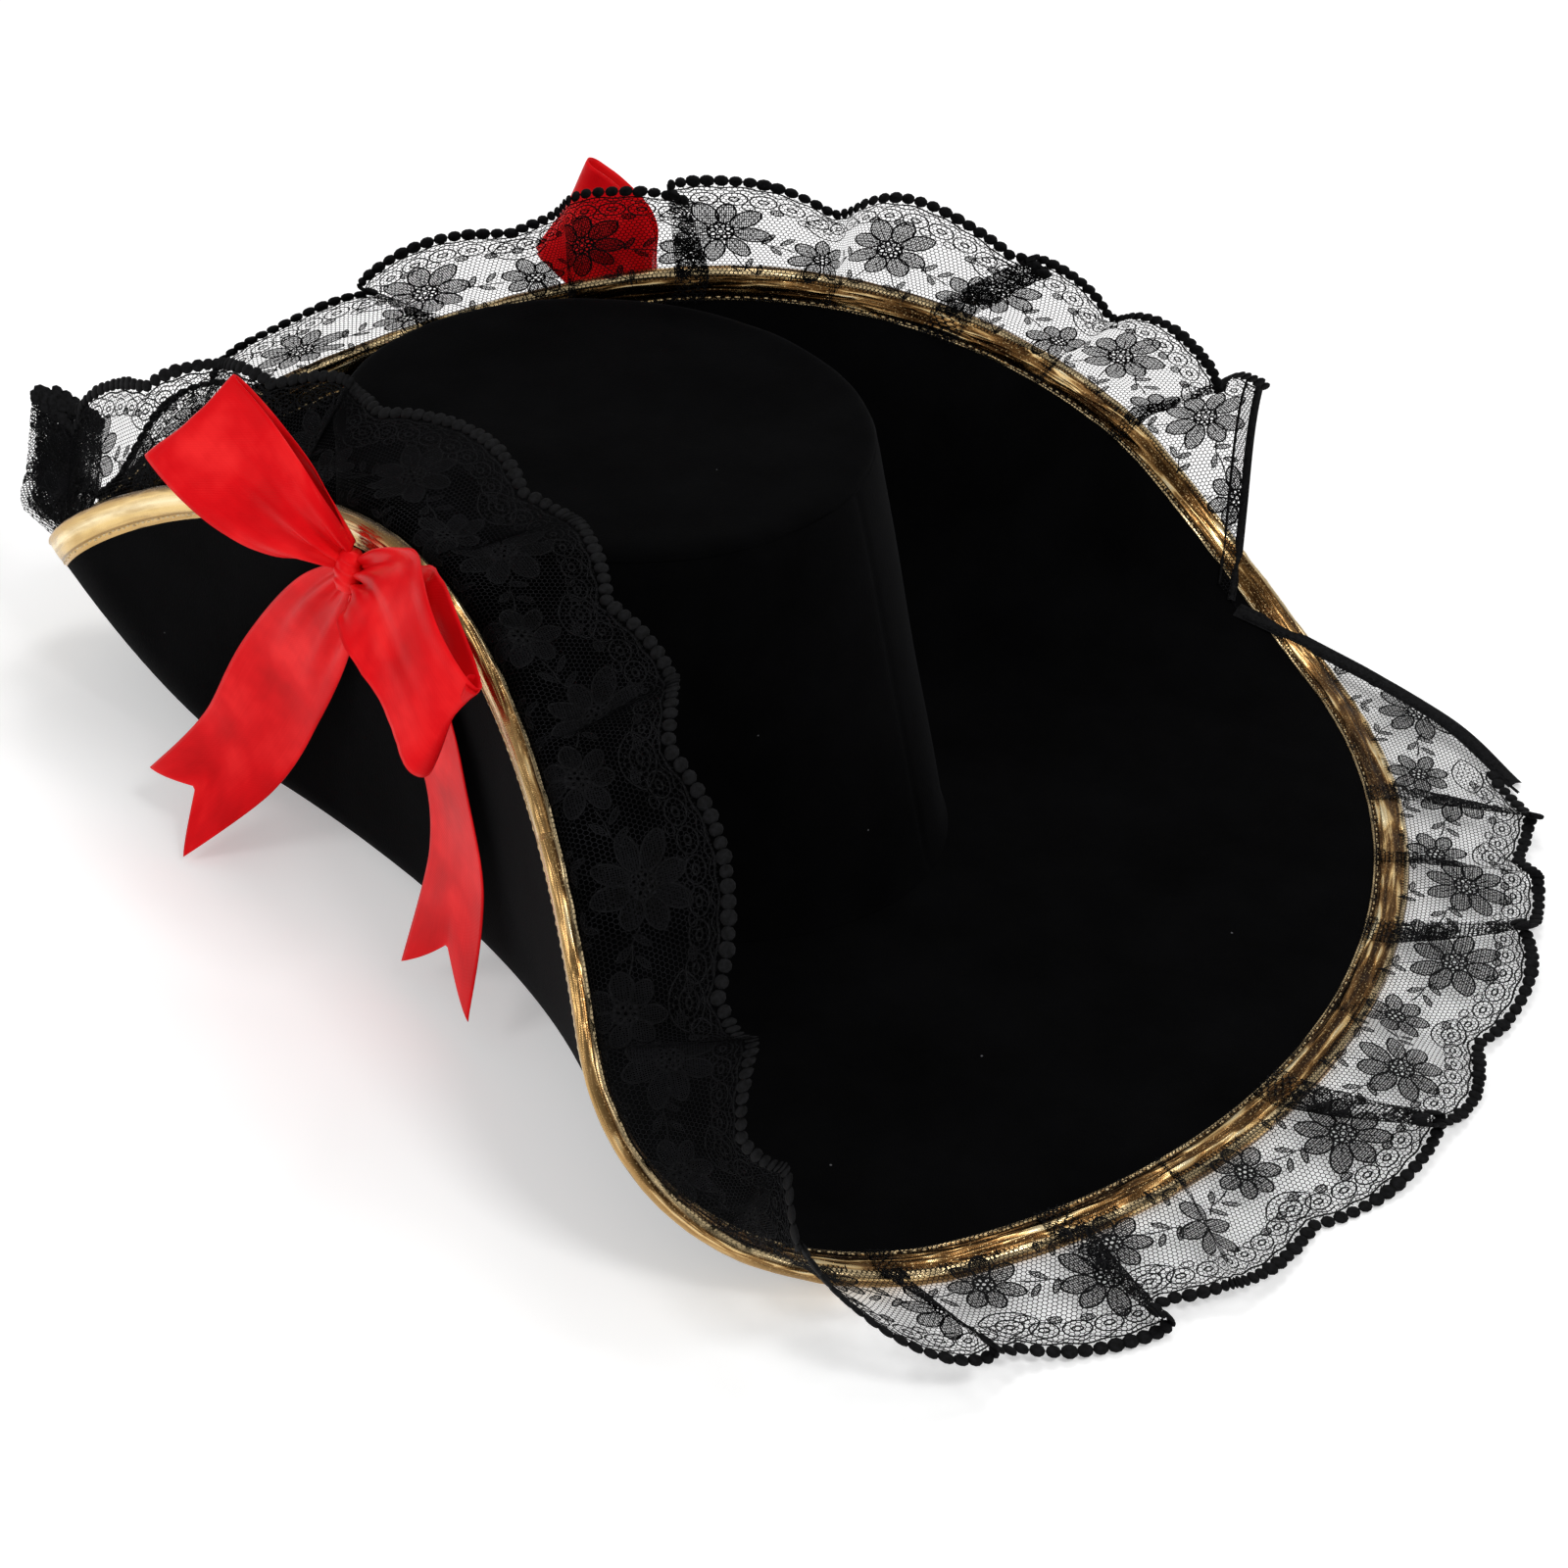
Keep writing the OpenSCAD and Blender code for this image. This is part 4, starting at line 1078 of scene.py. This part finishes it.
def bow(side):
    """The bow on the left side (1), or its mirror on the right (-1)."""
    word = "left" if side > 0 else "right"
    for part, body, path, across, widths, seed in (LEFT_LOOPS if side > 0 else RIGHT_LOOPS) + TAILS:
        tail = part.endswith("tail")
        name, rider = f"{word}_bow_{part}", body if body == "hat" else f"{word}_{body}"
        o, length = ribbon_piece(name + "_ribbon", side, path, across, widths, 0.45 if tail else 0.0, seed)
        finish_piece(o, SATIN, "satin_ribbon", name, body=rider)
    # The knot: a short ribbon wound round the middle, with pleats that run round it.
    around, high = 48, 30
    t, z = grid(np.arange(around) * 2 * math.pi / around, np.linspace(-1, 1, high))
    r = 4.3 * np.sqrt(np.clip(1 - 0.55 * z * z, 0.05, 1)) * (1 + 0.05 * np.sin(3 * t + 1))
    ridge = 0.45 * np.abs(np.sin(z * 6.5 + 0.5 * np.sin(t * 2 + 0.8))) + 0.2 * np.sin(z * 11 + t)
    r = r + ridge * (1 - z ** 4)
    q = np.stack([r * np.cos(t), z * 6.2, 0.92 * r * np.sin(t)], -1)
    c, s = math.cos(math.radians(-20)), math.sin(math.radians(-20))
    q = np.stack([q[..., 0], q[..., 1] * c - q[..., 2] * s, q[..., 1] * s + q[..., 2] * c], -1)
    q = q + [0, 6.5, 6.4]
    p = on_bow(q)
    uv = np.stack([t * 5.2, z * 6.2 + 40], -1)
    if side < 0:
        p = p * [-1, 1, 1]
    points = p.reshape(-1, 3)
    ends = [p[:, 0].mean(0), p[:, -1].mean(0)]
    faces = [list(f) for f in grid_faces(around, high, ring_u=True, flip=side < 0)]
    n = len(points)
    for k in range(around):
        a, b = k * high, ((k + 1) % around) * high
        faces.append([a, b, n][::-side])
        faces.append([b + high - 1, a + high - 1, n + 1][::-side])
    o = new_object(f"{word}_bow_knot_wrap", np.concatenate([points, ends]), faces,
                   np.concatenate([uv.reshape(-1, 2), [[0, 40], [0, 40]]]))
    finish_piece(o, SATIN, "satin_ribbon", f"{word}_bow_knot")


bow(1)
bow(-1)


# -------------------- floor and light
def stage():
    corners = np.array([[-1, -1, 0], [1, -1, 0], [1, 1, 0], [-1, 1, 0]])
    floor = new_object("floor", corners * 6.0 / MM, [[0, 1, 2, 3]])
    floor.location.z = -0.0002
    floor.data.materials.append(floor_material())
    world = bpy.data.worlds.new("world")
    bpy.context.scene.world = world
    world.use_nodes = True
    sky = world.node_tree.nodes["Background"]
    sky.inputs["Color"].default_value = (1, 1, 1, 1)
    sky.inputs["Strength"].default_value = 0.45
    for name, place, aim, power, width in (
            ("key", (0.6, 1.3, 1.9), (0, 0, 0.05), 16.0, 0.6),
            ("fill", (1.6, -0.9, 1.3), (0, 0, 0.05), 7.0, 0.6),
            ("top", (-0.9, -0.2, 1.8), (0, 0, 0.05), 8.0, 0.6)):
        data = bpy.data.lights.new(name, "AREA")
        data.energy, data.size = power, width
        lamp = bpy.data.objects.new(name, data)
        lamp.location = place
        lamp.rotation_euler = (Vector(aim) - Vector(place)).to_track_quat("-Z", "Y").to_euler()
        bpy.context.scene.collection.objects.link(lamp)


stage()
bpy.context.scene.view_settings.view_transform = "Standard"
